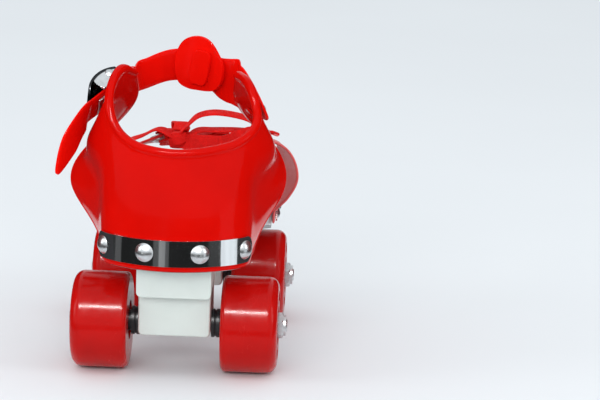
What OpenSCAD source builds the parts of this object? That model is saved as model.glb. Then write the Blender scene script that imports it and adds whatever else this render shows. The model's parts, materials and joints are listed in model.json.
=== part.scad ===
// Strap-on quad roller skate for the left foot.
// The origin is on top of the heel plate, above the rear axle, on the middle plane.
// +Y points to the toe, +X to the right and +Z up. All lengths are millimetres.

/* [Ride] */
// Height of the plates' top above the ground
deck_h = 67; // [65:1:75]
// Distance between the axles with the skate at its shortest
wheelbase = 110; // [108:1:125]
// Wheel diameter
wheel_d = 54; // [48:1:57]
// Wheel width
wheel_w = 31.5; // [29:0.5:34]
// Middle of the skate to each wheel's inner face
wheel_in = 25.8; // [25.5:0.1:29]
// Radius of the wheel's outer shoulder
wheel_shoulder_r = 6; // [3:0.5:8]
// Radius of the wheel's inner edge
wheel_edge_r = 3; // [1:0.5:4]
// How far the toe half pulls out
toe_travel = 30; // [10:1:34]

/* [Plates] */
// Thickness of the two foot plates
plate_t = 2; // [1.5:0.1:2.5]
// Height of the heel plate's upturned flange
flange_h = 17; // [15:0.5:22]
// Thickness of the upturned flanges
flange_t = 1.5; // [1:0.1:2]
// Half width of the toe plate
toe_half_w = 49; // [46:0.5:52]
// Height of the toe plate's side flanges
toe_flange_h = 7.5; // [7:0.5:10]
// Width of the heel plate's sliding tongue
tongue_w = 26; // [24:0.5:30]

/* [Heel cup] */
// Half width of the cup at its foot
heel_half_w = 41.5; // [39:0.5:44]
// Rear axle to the back of the cup
heel_back = 40; // [37:0.5:44]
// Radius of the back of the cup, seen from above
heel_back_r = 55; // [50:1:65]
// Radius of the cup's rear corners, seen from above
heel_corner_r = 20; // [16:0.5:24]
// Wall thickness of the cup
cup_wall = 2.2; // [1.6:0.1:2.6]
// How far the cup's foot reaches below the plates' top
cup_foot = 1.5; // [0.5:0.1:1.8]
// Height of the rim at the back of the heel
rim_back_h = 65.5; // [60:0.5:70]
// Height of the wing tips
wing_tip_h = 105; // [103:0.5:107]
// How far the outer wing flares out at mid height
wing_flare_out = 25.5; // [20:0.5:27]
// How far the inner wing flares out at mid height
wing_flare_in = 17.5; // [12:0.5:20]
// How far the wing tips wrap in round the ankle
wing_wrap = 17; // [12:0.5:18]
// Swell of the cup's sides below the rim
side_swell = 10.5; // [6:0.5:11]
// How far the back of the rim leans forward
heel_lean = 6; // [2:0.5:8]
// How far the wing tips lean to the inner side
ankle_lean = 2; // [0:0.5:4]
// Radius of the bead round the rim
rim_bead_r = 2.6; // [2:0.1:3]
// Radius of the bead down the wings' front edges
edge_bead_r = 1.6; // [1.3:0.1:1.9]

/* [Heel band] */
// Height of the steel band
band_h = 14.5; // [12:0.5:15]
// Thickness of the steel band
band_t = 1; // [0.8:0.1:1.5]
// Lower edge of the band above the plates' top
band_z = 2; // [1:0.1:3]
// Middle of the band to its inner rivets, along the band
rivet_in = 15; // [11:0.5:18]
// Middle of the band to its end rivets, along the band
rivet_end = 42.5; // [38:0.5:44]
// Radius of the domed rivet heads
rivet_r = 5.2; // [4:0.1:5.8]

/* [Ankle strap] */
// Width of the strap
strap_w = 18.5; // [16:0.5:18.6]
// Thickness of the strap
strap_t = 2; // [1.5:0.1:2]
// Radius of the strap round the front of the ankle
strap_r = 38; // [36:0.5:42]
// Rear axle to the front of the strap
strap_front = 58; // [55:0.5:62]
// Height of the strap at its pad
strap_z = 93.5; // [88:0.5:98]
// Length of the pad
pad_l = 27; // [25:0.5:32]
// Height of the pad
pad_h = 31; // [28:0.5:34]
// Thickness of the pad
pad_t = 2; // [1.5:0.1:2.4]

/* [Truck] */
// Half width of the truck's upper base
base_half_w = 20.5; // [20:0.5:22]
// Height of the truck's upper base
base_h = 18; // [17:0.5:19]
// Axle to the outer end of the base
base_out = 24; // [22:0.5:28]
// Axle to the inner end of the base
base_in = 20; // [19:0.5:23]
// Half width of the axle block
block_half_w = 20; // [18:0.5:20]
// Half length of the axle block
block_half_l = 15; // [12:0.5:15]
// Axle centre to the bottom of the axle block
block_foot = 4.5; // [4.5:0.1:8]
// Radius of the pivot lug
lug_r = 8; // [7:0.1:8.2]
// Radius of the pivot pin
pivot_r = 3; // [2:0.1:3.5]
// Wall of the rubber bush round the pivot pin
bush_wall = 2.5; // [1.5:0.1:3]

/* [Axle] */
// Radius of the axle and of the bearings' bore
axle_r = 4; // [3.5:0.1:4.2]
// Outer radius of the bearings
bearing_r = 11; // [10.8:0.1:12]
// Width of the bearings
bearing_w = 7; // [6:0.5:8]
// Depth of the bearing below the wheel's inner face
recess_in = 1.2; // [0.5:0.1:2]
// Depth of the bearing below the wheel's outer face
recess_out = 2.5; // [1.5:0.1:4]
// Radius of the black sleeves beside the block
sleeve_r = 8; // [7:0.1:9]
// Width across the flats of the axle bolts' heads and nuts
nut_af = 13; // [12:0.5:14]
// Height of the axle nuts
nut_h = 6; // [4.5:0.5:7]
// Height of the axle bolts' heads
axle_head_h = 3.6; // [2.5:0.1:4]

/* [Toe flaps] */
// Thickness of the flaps
flap_t = 1.8; // [1.4:0.1:2.2]
// How far the inner flap swells beyond the toe plate
flap_swell = 14; // [9:0.5:16]
// Height of the flaps above the plates' top
flap_h = 52; // [46:1:56]
// Gap between the two flaps
lace_gap = 27; // [22:0.5:32]
// Radius of the eyelets' holes
eyelet_r = 2.2; // [1.8:0.1:2.6]
// Width of the lace
lace_w = 9.5; // [7:0.5:10]
// Thickness of the lace
lace_t = 1.4; // [1:0.1:1.6]

/* [Buckle] */
// Arc from the back of the heel to the buckle, along the cup
buckle_arc = 88; // [87:0.5:92]
// Height of the buckle
buckle_z = 81; // [79:0.5:84]
// Slope of the strap through the buckle, in degrees
buckle_slope = 35; // [30:1:40]
// Height of the lever's pin above the buckle's base
pin_n = 7; // [6.6:0.1:7.5]
// Length of the lever's tail beyond its pin
lever_l = 18.5; // [16:0.5:18.5]

/* [Hidden] */
$fn = 64;

// Clearances: pressed or clamped sheets, sliding plates, turning pins
fit_gap = 0.3;
slide_gap = 0.2;
run_gap = 0.05;

// Levels and lengths that follow from the driving sizes
wheel_r = wheel_d / 2;
axle_z = wheel_r - deck_h;
base_z = -plate_t - base_h;
roof_t = 3;
lug_gap = 1;
pivot_z = -plate_t - roof_t - lug_gap - lug_r;
side_lift = 2.8;
shoulder_z = base_z + 0.5;
wall_gap = 0.6;
lug_room = 2;
tongue_z = -plate_t - slide_gap;
slot_r = 2.5 + slide_gap;
tongue_tip = wheelbase - base_in - 1.5;
bolt_y = tongue_tip - 5 - slot_r - toe_travel;
toe_rear = bolt_y - 10;
step_y = toe_rear - 1.5;
step_l = 4;
bearing_in = wheel_in + recess_in;
bearing_out = wheel_in + wheel_w - recess_out;
washer_t = 0.8;
nut_x = bearing_out + washer_t;
axle_end = nut_x + nut_h + 0.7;
ball_r = 1.98;
race_mid = (axle_r + bearing_r) / 2;
race_gap = 3.2;
ball_count = 7;

// Plain helpers
function mix(a, b, t) = a + (b - a) * t;
function clamp(t) = min(1, max(0, t));
function ease(t) = let (c = clamp(t)) c * c * (3 - 2 * c);
function unit(v) = v / norm(v);

// Smooth curve through evenly spaced values or points, t from 0 to 1
function through(p, t) =
    let (n = len(p) - 1,
         f = clamp(t) * n,
         i = min(floor(f), n - 1),
         u = f - i,
         a = p[max(i - 1, 0)],
         b = p[i],
         c = p[i + 1],
         d = p[min(i + 2, n)])
    0.5 * (2 * b + (c - a) * u + (2 * a - 5 * b + 4 * c - d) * u * u
        + (3 * b - 3 * c + d - a) * u * u * u);

// Ground plan of the heel: a back arc, two corner arcs and straight sides, by arc length
corner_a = asin((heel_half_w - heel_corner_r) / (heel_back_r - heel_corner_r));
back_c = [0, heel_back_r - heel_back];
corner_c = [heel_half_w - heel_corner_r,
    back_c[1] - (heel_back_r - heel_corner_r) * cos(corner_a)];
back_arc = heel_back_r * corner_a * PI / 180;
corner_arc = heel_corner_r * (90 - corner_a) * PI / 180;
side_start = back_arc + corner_arc;

function plan_angle(s) =
    s < back_arc ? s / heel_back_r * 180 / PI
    : min(90, corner_a + (s - back_arc) / heel_corner_r * 180 / PI);

function plan_point(s) =
    let (a = plan_angle(s))
    s < back_arc ? back_c + heel_back_r * [sin(a), -cos(a)]
    : s < side_start ? corner_c + heel_corner_r * [sin(a), -cos(a)]
    : [heel_half_w, corner_c[1] + s - side_start];

// Heel cup: swell of its middle surface outside the ground plan
swell_start = 50;
swell_end = 112;
profile_step = 15.5;
wrap_profile = -wing_wrap * [0.64, 0.96, 1.04];
outer_profile = concat(wing_flare_out * [0, 0.6, 1, 0.72, 0.1], wrap_profile);
inner_profile = concat(wing_flare_in * [0, 0.54, 1, 0.86, 0.17], wrap_profile);
front_line = [2, 19, 34, 42, 45, 44.5, 28.5, 17.5];
outer_rim = [0, 0.02, 0.075, 0.25, 0.505, 0.7, 0.865, 0.97, 1];
inner_rim = [0, 0.015, 0.055, 0.12, 0.26, 0.46, 0.69, 0.83, 0.86];
cup_z = -cup_foot;

function step_at(z) = (z - cup_z) / profile_step / (len(front_line) - 1);
function side_hump(q) = pow(sin(180 * clamp((q - 40) / 72)), 2);
function cup_swell(side, q, z) =
    through(side < 0 ? outer_profile : inner_profile, step_at(z))
        * ease((q - swell_start) / (swell_end - swell_start))
    + side_swell * side_hump(q) * ease((z - 40) / 22) * (1 - ease((z - 60) / 42))
    - heel_lean * (1 - ease((q - 20) / 50)) * pow(max(0, z - 20) / 45, 1.5);

// Point of the cup's middle surface at arc length s (negative on the left) and height z
function cup_point(s, z) =
    let (q = abs(s),
         a = plan_angle(q),
         p = plan_point(q),
         o = cup_swell(s, q, z) - cup_wall / 2)
    [sign(s) * (p[0] + o * sin(a)) + ankle_lean * ease((z - 75) / 35), p[1] - o * cos(a), z];
function cup_along(s, z) = unit(cup_point(s + 0.5, z) - cup_point(s - 0.5, z));
function cup_up(s, z) = unit(cup_point(s, z + 0.5) - cup_point(s, z - 0.5));
function cup_normal(s, z) = unit(cross(cup_along(s, z), cup_up(s, z)));

function rim_z(g) =
    rim_back_h + (wing_tip_h - rim_back_h) * through(g < 0 ? outer_rim : inner_rim, abs(g));
function front_arc(z) = side_start - corner_c[1] + through(front_line, step_at(z));
function bead(d, r) = d < 2 * r ? sqrt(max(0, r * r - (d - r) * (d - r))) : 0;

// Distances from a free edge at which the rim and the front edges have rows of points
rim_rows = rim_bead_r * [2, 1.78, 1.42, 1, 0.58, 0.22, 0.04];
edge_rows = edge_bead_r * [2, 1.75, 1, 0.25, 0.03];
cup_steps = 36;
cup_low_rows = 13;
// One column of the cup: share of the way to the front edge, distance from that edge
cup_cols = concat(
    [for (d = edge_rows) [-1, edge_rows[4] + edge_rows[0] - d]],
    [for (j = [1 : cup_steps - 1]) [2 * j / cup_steps - 1, -1]],
    [for (d = edge_rows) [1, d]]);

function cup_grid(face) =
    [for (i = [0 : cup_low_rows + len(rim_rows)])
        [for (c = cup_cols)
            let (top = rim_z(c[0]),
                 low_top = top - 2 * rim_bead_r - 1.5,
                 z = i <= cup_low_rows ? mix(cup_z, low_top, i / cup_low_rows)
                     : top - rim_rows[i - cup_low_rows - 1],
                 reach = front_arc(z),
                 s = c[1] < 0 ? c[0] * (reach - 2 * edge_bead_r - 1.5) : c[0] * (reach - c[1]),
                 h = max(min(cup_wall / 2, 0.3 + (c[1] < 0 ? 9 : c[1] * 4), 0.3 + (top - z) * 4),
                     bead(top - z, rim_bead_r),
                     c[1] < 0 ? 0 : bead(c[1], edge_bead_r)))
            cup_point(s, z) + face * h * cup_normal(s, z)]];

// Closed sheet between an outer and an inner grid of points
module sheet(outer, inner) {
    rows = len(outer);
    cols = len(outer[0]);
    back = rows * cols;
    points = concat([for (r = outer) each r], [for (r = inner) each r]);
    faces = concat(
        [for (i = [0 : rows - 2], j = [0 : cols - 2])
            let (a = i * cols + j, b = a + 1, d = a + cols, c = d + 1)
            each [[a, d, c], [a, c, b], [back + a, back + b, back + c], [back + a, back + c, back + d]]],
        [for (j = [0 : cols - 2])
            let (a = j, c = (rows - 1) * cols + j)
            each [[a, a + 1, back + a + 1], [a, back + a + 1, back + a],
                [c + 1, c, back + c], [c + 1, back + c, back + c + 1]]],
        [for (i = [0 : rows - 2])
            let (a = i * cols, b = a + cols - 1)
            each [[a + cols, a, back + a], [a + cols, back + a, back + a + cols],
                [b, b + cols, back + b + cols], [b, back + b + cols, back + b]]]);
    polyhedron(points, faces, 6);
}

// Ring of eight points of a flat band with eased edges
function band_ring(p, across, out, w, t) =
    let (c = 0.6 * t)
    [for (k = [[w - c, -t], [w, c - t], [w, t - c], [w - c, t],
        [c - w, t], [-w, t - c], [-w, c - t], [c - w, -t]])
        p + k[0] * across + k[1] * out];

// Rings along a list of points, each with the way its flat side faces and its half width
function band_rings(pts, outs, widths, t) =
    let (n = len(pts) - 1)
    [for (i = [0 : n])
        let (dir = unit(pts[min(i + 1, n)] - pts[max(i - 1, 0)]),
             across = unit(cross(dir, outs[i])),
             out = cross(across, dir))
        band_ring(pts[i], across, out, widths[i], t)];

// Solid band through rings of points
module band_solid(rings) {
    n = len(rings);
    k = len(rings[0]);
    faces = concat(
        [for (i = [0 : n - 2], j = [0 : k - 1])
            let (a = i * k + j, b = i * k + (j + 1) % k, c = b + k, d = a + k)
            each [[a, b, c], [a, c, d]]],
        [[for (j = [0 : k - 1]) k - 1 - j]],
        [[for (j = [0 : k - 1]) (n - 1) * k + j]]);
    polyhedron([for (r = rings) each r], faces, 6);
}

// Band along a coarse route of points and facings, smoothed in the given number of steps
module routed_band(route, steps, half_w, half_t) {
    pts = [for (i = [0 : steps]) through([for (r = route) r[0]], i / steps)];
    outs = [for (i = [0 : steps]) unit(through([for (r = route) r[1]], i / steps))];
    band_solid(band_rings(pts, outs, [for (i = [0 : steps]) half_w], half_t));
}

// Place things in a frame given by its own x, y and z directions
module in_frame(at, ex, ey, ez) {
    multmatrix([[ex[0], ey[0], ez[0], at[0]],
        [ex[1], ey[1], ez[1], at[1]],
        [ex[2], ey[2], ez[2], at[2]],
        [0, 0, 0, 1]])
        children();
}

// Same thing on the left and on the right
module both_sides() {
    children();
    mirror([1, 0, 0]) children();
}

// Turn a shape made along Z so that it lies along X
module along_x(x) {
    translate([x, 0, 0]) rotate([0, 90, 0]) children();
}

// Low dome on a flat base
module dome(r, h) {
    ball = (r * r + h * h) / (2 * h);
    intersection() {
        translate([0, 0, h - ball]) sphere(ball);
        cylinder(r = r + 1, h = h);
    }
}

// Rivet: domed head from z = 0 up, shank down through the grip, flat foot below it
module rivet(head_r, head_h, shank_r, grip, foot_r, foot_h) {
    dome(head_r, head_h);
    translate([0, 0, -grip]) cylinder(r = shank_r, h = grip);
    translate([0, 0, -grip - foot_h]) cylinder(r = foot_r, h = foot_h);
}

// Countersunk screw with its head just under z = 0
head_sink = 0.05;
module flush_screw(shank_r, head_r, length) {
    difference() {
        union() {
            translate([0, 0, -head_sink - head_r + shank_r])
                cylinder(r1 = shank_r, r2 = head_r, h = head_r - shank_r);
            translate([0, 0, -length]) cylinder(r = shank_r, h = length - head_sink - head_r + shank_r);
        }
        for (a = [0, 90])
            rotate([0, 0, a]) translate([-shank_r, -0.4, -head_sink - 0.8]) cube([2 * shank_r, 0.8, 2]);
    }
}

// Hole for a flush screw, open at the top
module flush_hole(shank_r, head_r, depth) {
    sink = head_r - shank_r;
    translate([0, 0, -head_sink - sink]) cylinder(r1 = shank_r, r2 = head_r, h = sink);
    translate([0, 0, -head_sink]) cylinder(r = head_r, h = 1);
    translate([0, 0, -depth]) cylinder(r = shank_r, h = depth);
}

// Flat shapes seen from above or from behind
module plan_region(d, y_end) {
    a = corner_a;
    far = 2 * heel_back_r;
    intersection() {
        translate(back_c) circle(heel_back_r + d, $fn = 180);
        polygon([back_c, back_c + far * [sin(a), -cos(a)], [0, -2 * far],
            back_c + far * [-sin(a), -cos(a)]]);
    }
    both_sides() translate(corner_c) circle(heel_corner_r + d);
    translate([-heel_half_w - d, corner_c[1]]) square([2 * (heel_half_w + d), y_end - corner_c[1]]);
}

// Everything behind the radius through a point of the heel's corner arc
module behind(s) {
    a = plan_angle(s);
    far = 4 * heel_back;
    left_c = [-corner_c[0], corner_c[1]];
    polygon([left_c, corner_c, corner_c + far * [sin(a), -cos(a)], [far, -far], [-far, -far],
        left_c + far * [-sin(a), -cos(a)]]);
}

// Rectangle with rounded lower corners, its top edge at y = top
module skirt(half_w, bottom, top, r) {
    translate([-half_w, bottom + r]) square([2 * half_w, top - bottom - r]);
    translate([r - half_w, bottom]) square([2 * (half_w - r), r + 0.01]);
    both_sides() translate([half_w - r, bottom + r]) circle(r);
}

// Extrude a shape drawn in X and Z from one y to another
module from_behind(y0, y1) {
    translate([0, y1, 0]) rotate([90, 0, 0]) linear_extrude(y1 - y0) children();
}

// Outward direction at a rivet of the heel band becomes z
band_mid = band_z + band_h / 2;
module at_heel(s, out) {
    p = plan_point(s);
    a = plan_angle(s);
    translate([p[0] + out * sin(a), p[1] - out * cos(a), band_mid]) rotate([90, 0, a]) children();
}

module at_heel_rivets(out) {
    both_sides() for (s = [rivet_in, rivet_end]) at_heel(s, out) children();
}

// Heel half
rivet_shank_r = 2.4;
facet_gap = 0.3;
plate_edge = -cup_wall - fit_gap - facet_gap;
band_out = fit_gap + band_t;
band_front = corner_c[1] + 2 * heel_corner_r;
rivet_foot_r = 4;
rivet_foot_h = 1;
flange_front = -10;
heel_front = 14;
screw_r = 2;
screw_head_r = 3.7;
screw_x = 15.2;
screw_y = 10;
screw_l = 12;

module at_truck_screws() {
    both_sides() for (y = [-screw_y, screw_y]) translate([screw_x, y, 0]) children();
}

module heel_plate() {
    color("silver") difference() {
        union() {
            translate([0, 0, -plate_t]) linear_extrude(plate_t) {
                plan_region(plate_edge, heel_front);
                translate([-tongue_w / 2, 0]) square([tongue_w, step_y]);
            }
            translate([0, 0, -plate_t]) linear_extrude(plate_t + flange_h) intersection() {
                difference() {
                    plan_region(plate_edge, heel_front);
                    plan_region(plate_edge - flange_t, heel_front + 1);
                }
                translate([-100, -100]) square([200, 100 + flange_front]);
            }
            translate([-tongue_w / 2, step_y - step_l, tongue_z - plate_t])
                cube([tongue_w, step_l, plate_t - tongue_z]);
            translate([-tongue_w / 2, step_y - step_l, tongue_z - plate_t])
                cube([tongue_w, tongue_tip - step_y + step_l, plate_t]);
        }
        at_truck_screws() flush_hole(screw_r, screw_head_r, plate_t + 1);
        at_heel_rivets(0) translate([0, 0, -20]) cylinder(r = rivet_shank_r, h = 20);
        at_heel_rivets(plate_edge - flange_t - rivet_foot_h - 1)
            cylinder(r = rivet_foot_r + fit_gap, h = rivet_foot_h + 1);
        for (y = [bolt_y, bolt_y + toe_travel])
            translate([0, y, tongue_z - plate_t - 1]) cylinder(r = slot_r, h = plate_t + 2);
        translate([-slot_r, bolt_y, tongue_z - plate_t - 1]) cube([2 * slot_r, toe_travel, plate_t + 2]);
    }
}

module heel_cup() {
    color([0.86, 0.05, 0.03]) sheet(cup_grid(1), cup_grid(-1));
}

// What lies beyond the band's end rivets, apart from its rounded ends
module band_ends() {
    difference() {
        translate([0, 0, band_z - 1]) linear_extrude(band_h + 2) difference() {
            translate([-100, -100]) square([200, 102 + band_front]);
            behind(rivet_end);
        }
        both_sides() at_heel(rivet_end, -4) cylinder(r = band_h / 2 + 0.25, h = 12);
    }
}

module heel_band() {
    color("gainsboro") difference() {
        translate([0, 0, band_z]) linear_extrude(band_h) band_outline();
        band_ends();
        at_heel_rivets(-2) cylinder(r = rivet_shank_r, h = 8);
    }
}

module band_outline() {
    difference() {
        plan_region(band_out, band_front);
        plan_region(fit_gap, band_front + 1);
    }
}

module heel_rivets() {
    grip = band_out - plate_edge + flange_t;
    color("lightgray") at_heel_rivets(band_out) 
        rivet(rivet_r, rivet_r / 2, rivet_shank_r, grip, rivet_foot_r, rivet_foot_h);
}

// Strap round the front of the ankle: an arc in a plane that is rolled at the pad
pad_a = 18;
pad_roll = 9;
pad_turn = 2;
pad_lift = 2;
pad_corner_r = 9.5;
arc_mid = [-3, strap_front - strap_r];
pad_out = [sin(pad_a), cos(pad_a), 0];
pad_flat = [cos(pad_a), -sin(pad_a), 0];
pad_right = cos(pad_roll) * pad_flat - sin(pad_roll) * [0, 0, 1];
pad_up = cross(pad_right, pad_out);
pad_c = [arc_mid[0], arc_mid[1], strap_z];
weave = pad_t + strap_t + 2 * fit_gap;
slit_a = 8;
slit_w = 6;
slit_turn = 4;

// Radius of the strap's middle at an angle from the pad: it dips inside the pad between the slits
function strap_reach(a) =
    strap_r - weave * (1 - ease((abs(a) - slit_a + slit_turn) / (2 * slit_turn))) + 3 * ease((a - 16) / 13);
function strap_face(a) = cos(a) * pad_out + sin(a) * pad_right;
function strap_drop(a) = 5 * ease((-a - 22) / 44);
function on_arc(a) = [pad_c + strap_reach(a) * strap_face(a) - [0, 0, strap_drop(a)], strap_face(a)];

// Strap on a wing: outside the cup at an arc length and height
wing_gap = rim_bead_r + 2 * fit_gap;
function on_wing(s, z) =
    let (high = cup_point(s - 5, z + 7.5),
         low = cup_point(s + 5, z - 7.5),
         mid = (high + low) / 2,
         n = unit(cross(cup_along(s, z), high - low)),
         d = max(0, (cup_point(s, z) - mid) * n))
    [mid + (d + wing_gap + strap_t / 2) * n, n];

// Frame of the buckle: t runs back and down along the strap, n points outward
buckle_rise = 1.1;
buckle_seat = rim_bead_r + fit_gap + buckle_rise;
buckle_n = cup_normal(-buckle_arc, buckle_z);
buckle_t = cos(buckle_slope) * cup_along(-buckle_arc, buckle_z)
    - sin(buckle_slope) * cup_up(-buckle_arc, buckle_z);
buckle_tu = unit(buckle_t - (buckle_t * buckle_n) * buckle_n);
buckle_b = cross(buckle_n, buckle_tu);
buckle_at = cup_point(-buckle_arc, buckle_z) + buckle_seat * buckle_n;
frame_t = 1;
strap_n = frame_t + fit_gap + strap_t / 2;
function in_buckle(t, n) = [buckle_at + t * buckle_tu + n * buckle_n, buckle_n];

// Free end of the strap, from the buckle: it falls away outward and down
tail_drop = [[[-14.5, -17, -9.5], [-0.82, 0.45, 0.3]], [[-18.5, -24.5, -16], [-0.8, 0.5, 0.3]],
    [[-22.5, -30, -24.5], [-0.78, 0.55, 0.3]], [[-25.5, -34, -32.5], [-0.76, 0.58, 0.3]],
    [[-27.5, -36.5, -38], [-0.75, 0.6, 0.3]]];

strap_fixed = 86;
strap_fixed_z = 77;
strap_route = concat(
    [for (k = [-0.6, 0, 1, 2]) on_wing(strap_fixed + 9.5 * k, strap_fixed_z + 5 * k)],
    [for (a = [31, 24, 18, 14, 12, 10, 8, 6, 4, 2, 0, -2, -4, -6, -8, -10, -12, -14, -18, -24,
        -32, -41, -51, -61]) on_arc(a)],
    [for (t = [-15, -8, -1, 6, 13]) in_buckle(t, strap_n + 0.25 * max(0, -t - 8))],
    [in_buckle(19, strap_n)],
    [for (p = tail_drop) [buckle_at + p[0], p[1]]]);
strap_rings = 120;

// Half width along the strap: rounded at the fixed end, pointed at the free end
function strap_half(u) =
    strap_w / 2 * min(0.55 + 22 * u, 1, 0.12 + 15 * (1 - u));

module ankle_strap() {
    us = [for (i = [0 : strap_rings]) i / strap_rings];
    pts = [for (u = us) through([for (r = strap_route) r[0]], u)];
    outs = [for (u = us) unit(through([for (r = strap_route) r[1]], u))];
    color([0.84, 0.05, 0.03]) band_solid(band_rings(pts, outs, [for (u = us) strap_half(u)], strap_t / 2));
}

module strap_pad() {
    pad_r = strap_r - weave / 2;
    color([0.88, 0.06, 0.04]) in_frame(pad_c, pad_right, pad_out, pad_up) difference() {
        intersection() {
            difference() {
                translate([0, 0, -pad_h]) cylinder(r = pad_r + pad_t / 2, h = 2 * pad_h, $fn = 180);
                translate([0, 0, -pad_h - 1]) cylinder(r = pad_r - pad_t / 2, h = 2 * pad_h + 2, $fn = 180);
            }
            from_behind(0, 2 * strap_r) translate([0, pad_lift]) rotate(-pad_turn) {
                square([pad_l, pad_h - 2 * pad_corner_r], center = true);
                square([pad_l - 2 * pad_corner_r, pad_h], center = true);
                for (x = [-1, 1], y = [-1, 1])
                    translate([x * (pad_l / 2 - pad_corner_r), y * (pad_h / 2 - pad_corner_r)])
                        circle(pad_corner_r);
            }
        }
        for (a = [-slit_a, slit_a])
            rotate([0, 0, -a]) translate([-slit_w / 2, pad_r - 10, -strap_w / 2 - fit_gap])
                cube([slit_w, 20, strap_w + 2 * fit_gap]);
    }
}

// Rivets through the wings: the strap's fixed end on the right, the buckle on the left
tube_r = 1.8;
tube_head_r = 4.2;
buckle_rivet_t = 9;
module wing_rivets() {
    seat = on_wing(strap_fixed, strap_fixed_z);
    n = seat[1];
    ex = unit(cross(cup_up(strap_fixed, strap_fixed_z), n));
    grip = strap_t / 2 + (seat[0] - cup_point(strap_fixed, strap_fixed_z)) * n + cup_wall / 2;
    color("lightgray") {
        in_frame(seat[0] + strap_t / 2 * n, ex, cross(n, ex), n)
            rivet(tube_head_r, 1.6, tube_r, grip, tube_head_r, 0.8);
        in_frame(buckle_at + buckle_rivet_t * buckle_tu, buckle_tu, buckle_b, buckle_n) {
            translate([0, 0, -buckle_seat - cup_wall / 2]) cylinder(r = tube_r,
                h = buckle_seat + cup_wall / 2 + frame_t);
            translate([0, 0, -buckle_seat - cup_wall / 2]) mirror([0, 0, 1]) dome(tube_head_r, 0.9);
        }
    }
}

// Lever buckle, in its own frame: x along the strap, y across it, z outward
frame_half_w = strap_w / 2 + 1.25;
frame_tail_w = 6;
ear_t = 1;
cheek_t = 1.2;
cheek_y = frame_half_w + fit_gap;
pin_x = -2;
pin_r = 1.5;
ear_r = 2.25;
ear_neck = 1.7;
lever_r = 18;
lever_t = 1.2;
lever_c = [5.2, -13.2];
cheek_c = [2.5, -0.8];
cheek_r = 8.6;
cheek_low = 5.2;
nose_x = -3.5;
sweep_r = pin_n - 1.4;

module in_buckle_frame() {
    in_frame(buckle_at, buckle_tu, buckle_b, buckle_n) children();
}

module at_pin() {
    translate([pin_x, 0, pin_n]) rotate([90, 0, 0]) children();
}

module buckle_frame() {
    color("silver") in_buckle_frame() difference() {
        union() {
            translate([-8, -frame_half_w, 0]) cube([8, 2 * frame_half_w, frame_t]);
            translate([-8, -frame_tail_w, 0]) cube([21, 2 * frame_tail_w, frame_t]);
            for (y = [-frame_half_w, frame_half_w - ear_t]) from_behind(y, y + ear_t) {
                translate([pin_x - ear_neck, 0]) square([2 * ear_neck, pin_n]);
                translate([pin_x, pin_n]) circle(ear_r);
            }
        }
        at_pin() cylinder(r = pin_r, h = 60, center = true);
        translate([buckle_rivet_t, 0, -1]) cylinder(r = tube_r, h = 4);
    }
}

module buckle_pin() {
    end_y = cheek_y + cheek_t + 0.1;
    color("lightgray") in_buckle_frame() at_pin() {
        cylinder(r = pin_r, h = 2 * end_y, center = true);
        translate([0, 0, end_y]) dome(2.6, 1);
        mirror([0, 0, 1]) translate([0, 0, end_y]) dome(2.6, 1);
    }
}

// Lever seen from its side, from the pin: a bowed top plate over two rounded cheeks
module cheek_outline() {
    intersection() {
        translate(lever_c) circle(lever_r, $fn = 128);
        translate([-20, -cheek_low]) square([40, 40]);
        union() {
            intersection() {
                translate(cheek_c) circle(cheek_r);
                translate([0, -20]) square([40, 40]);
            }
            circle(sweep_r);
        }
    }
}

module top_outline() {
    intersection() {
        translate(lever_c) difference() {
            circle(lever_r, $fn = 128);
            circle(lever_r - lever_t, $fn = 128);
        }
        translate([nose_x, -cheek_low]) square([lever_l - nose_x, 40]);
    }
}

module buckle_lever() {
    half_w = cheek_y + cheek_t;
    core_w = frame_half_w - ear_t - fit_gap;
    cam_r = pin_n - strap_n - strap_t / 2 - fit_gap;
    end_r = 6;
    color("dimgray") in_buckle_frame() translate([pin_x, 0, pin_n]) difference() {
        union() {
            for (y = [-half_w, cheek_y]) from_behind(y, y + cheek_t) cheek_outline();
            intersection() {
                from_behind(-half_w, half_w) top_outline();
                translate([0, 0, -20]) linear_extrude(40) {
                    translate([-20, -half_w]) square([20 + lever_l - end_r, 2 * half_w]);
                    translate([-20, end_r - half_w]) square([20 + lever_l, 2 * (half_w - end_r)]);
                    for (y = [end_r - half_w, half_w - end_r]) translate([lever_l - end_r, y]) circle(end_r);
                }
            }
            from_behind(-core_w, core_w) {
                circle(cam_r);
                intersection() {
                    translate(lever_c) circle(lever_r, $fn = 128);
                    translate([-1, 0]) square([2, 20]);
                }
            }
        }
        rotate([90, 0, 0]) cylinder(r = pin_r + run_gap, h = 60, center = true);
    }
}

// Trucks: modelled at the rear axle; the front one faces the other way
module at_truck(front) {
    if (front)
        translate([0, wheelbase, 0]) mirror([0, 1, 0]) children();
    else
        children();
}

lug_half_l = block_half_l;
cavity_half_w = lug_r + lug_room;
module truck_base() {
    color([0.92, 0.94, 0.92]) difference() {
        from_behind(-base_out, base_in) skirt(base_half_w, base_z, -plate_t, 3.5);
        translate([-cavity_half_w, -lug_half_l - wall_gap, base_z - 1])
            cube([2 * cavity_half_w, 2 * (lug_half_l + wall_gap), base_h + 1 - roof_t]);
        translate([-50, -lug_half_l - wall_gap, base_z - 1])
            cube([100, 2 * (lug_half_l + wall_gap), side_lift + 1]);
        translate([0, base_in + 1, pivot_z]) rotate([90, 0, 0]) cylinder(r = pivot_r, h = pivot_l + 1);
        at_truck_screws() translate([0, 0, -screw_l - 1]) cylinder(r = screw_r, h = screw_l + 1);
    }
}

module truck_screws() {
    color("lightgray") at_truck_screws() flush_screw(screw_r, screw_head_r, screw_l);
}

pivot_l = base_in + block_half_l + 5;
module pivot_pin() {
    color("lightgray") translate([0, base_in, pivot_z]) rotate([90, 0, 0])
        cylinder(r = pivot_r, h = pivot_l);
}

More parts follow.
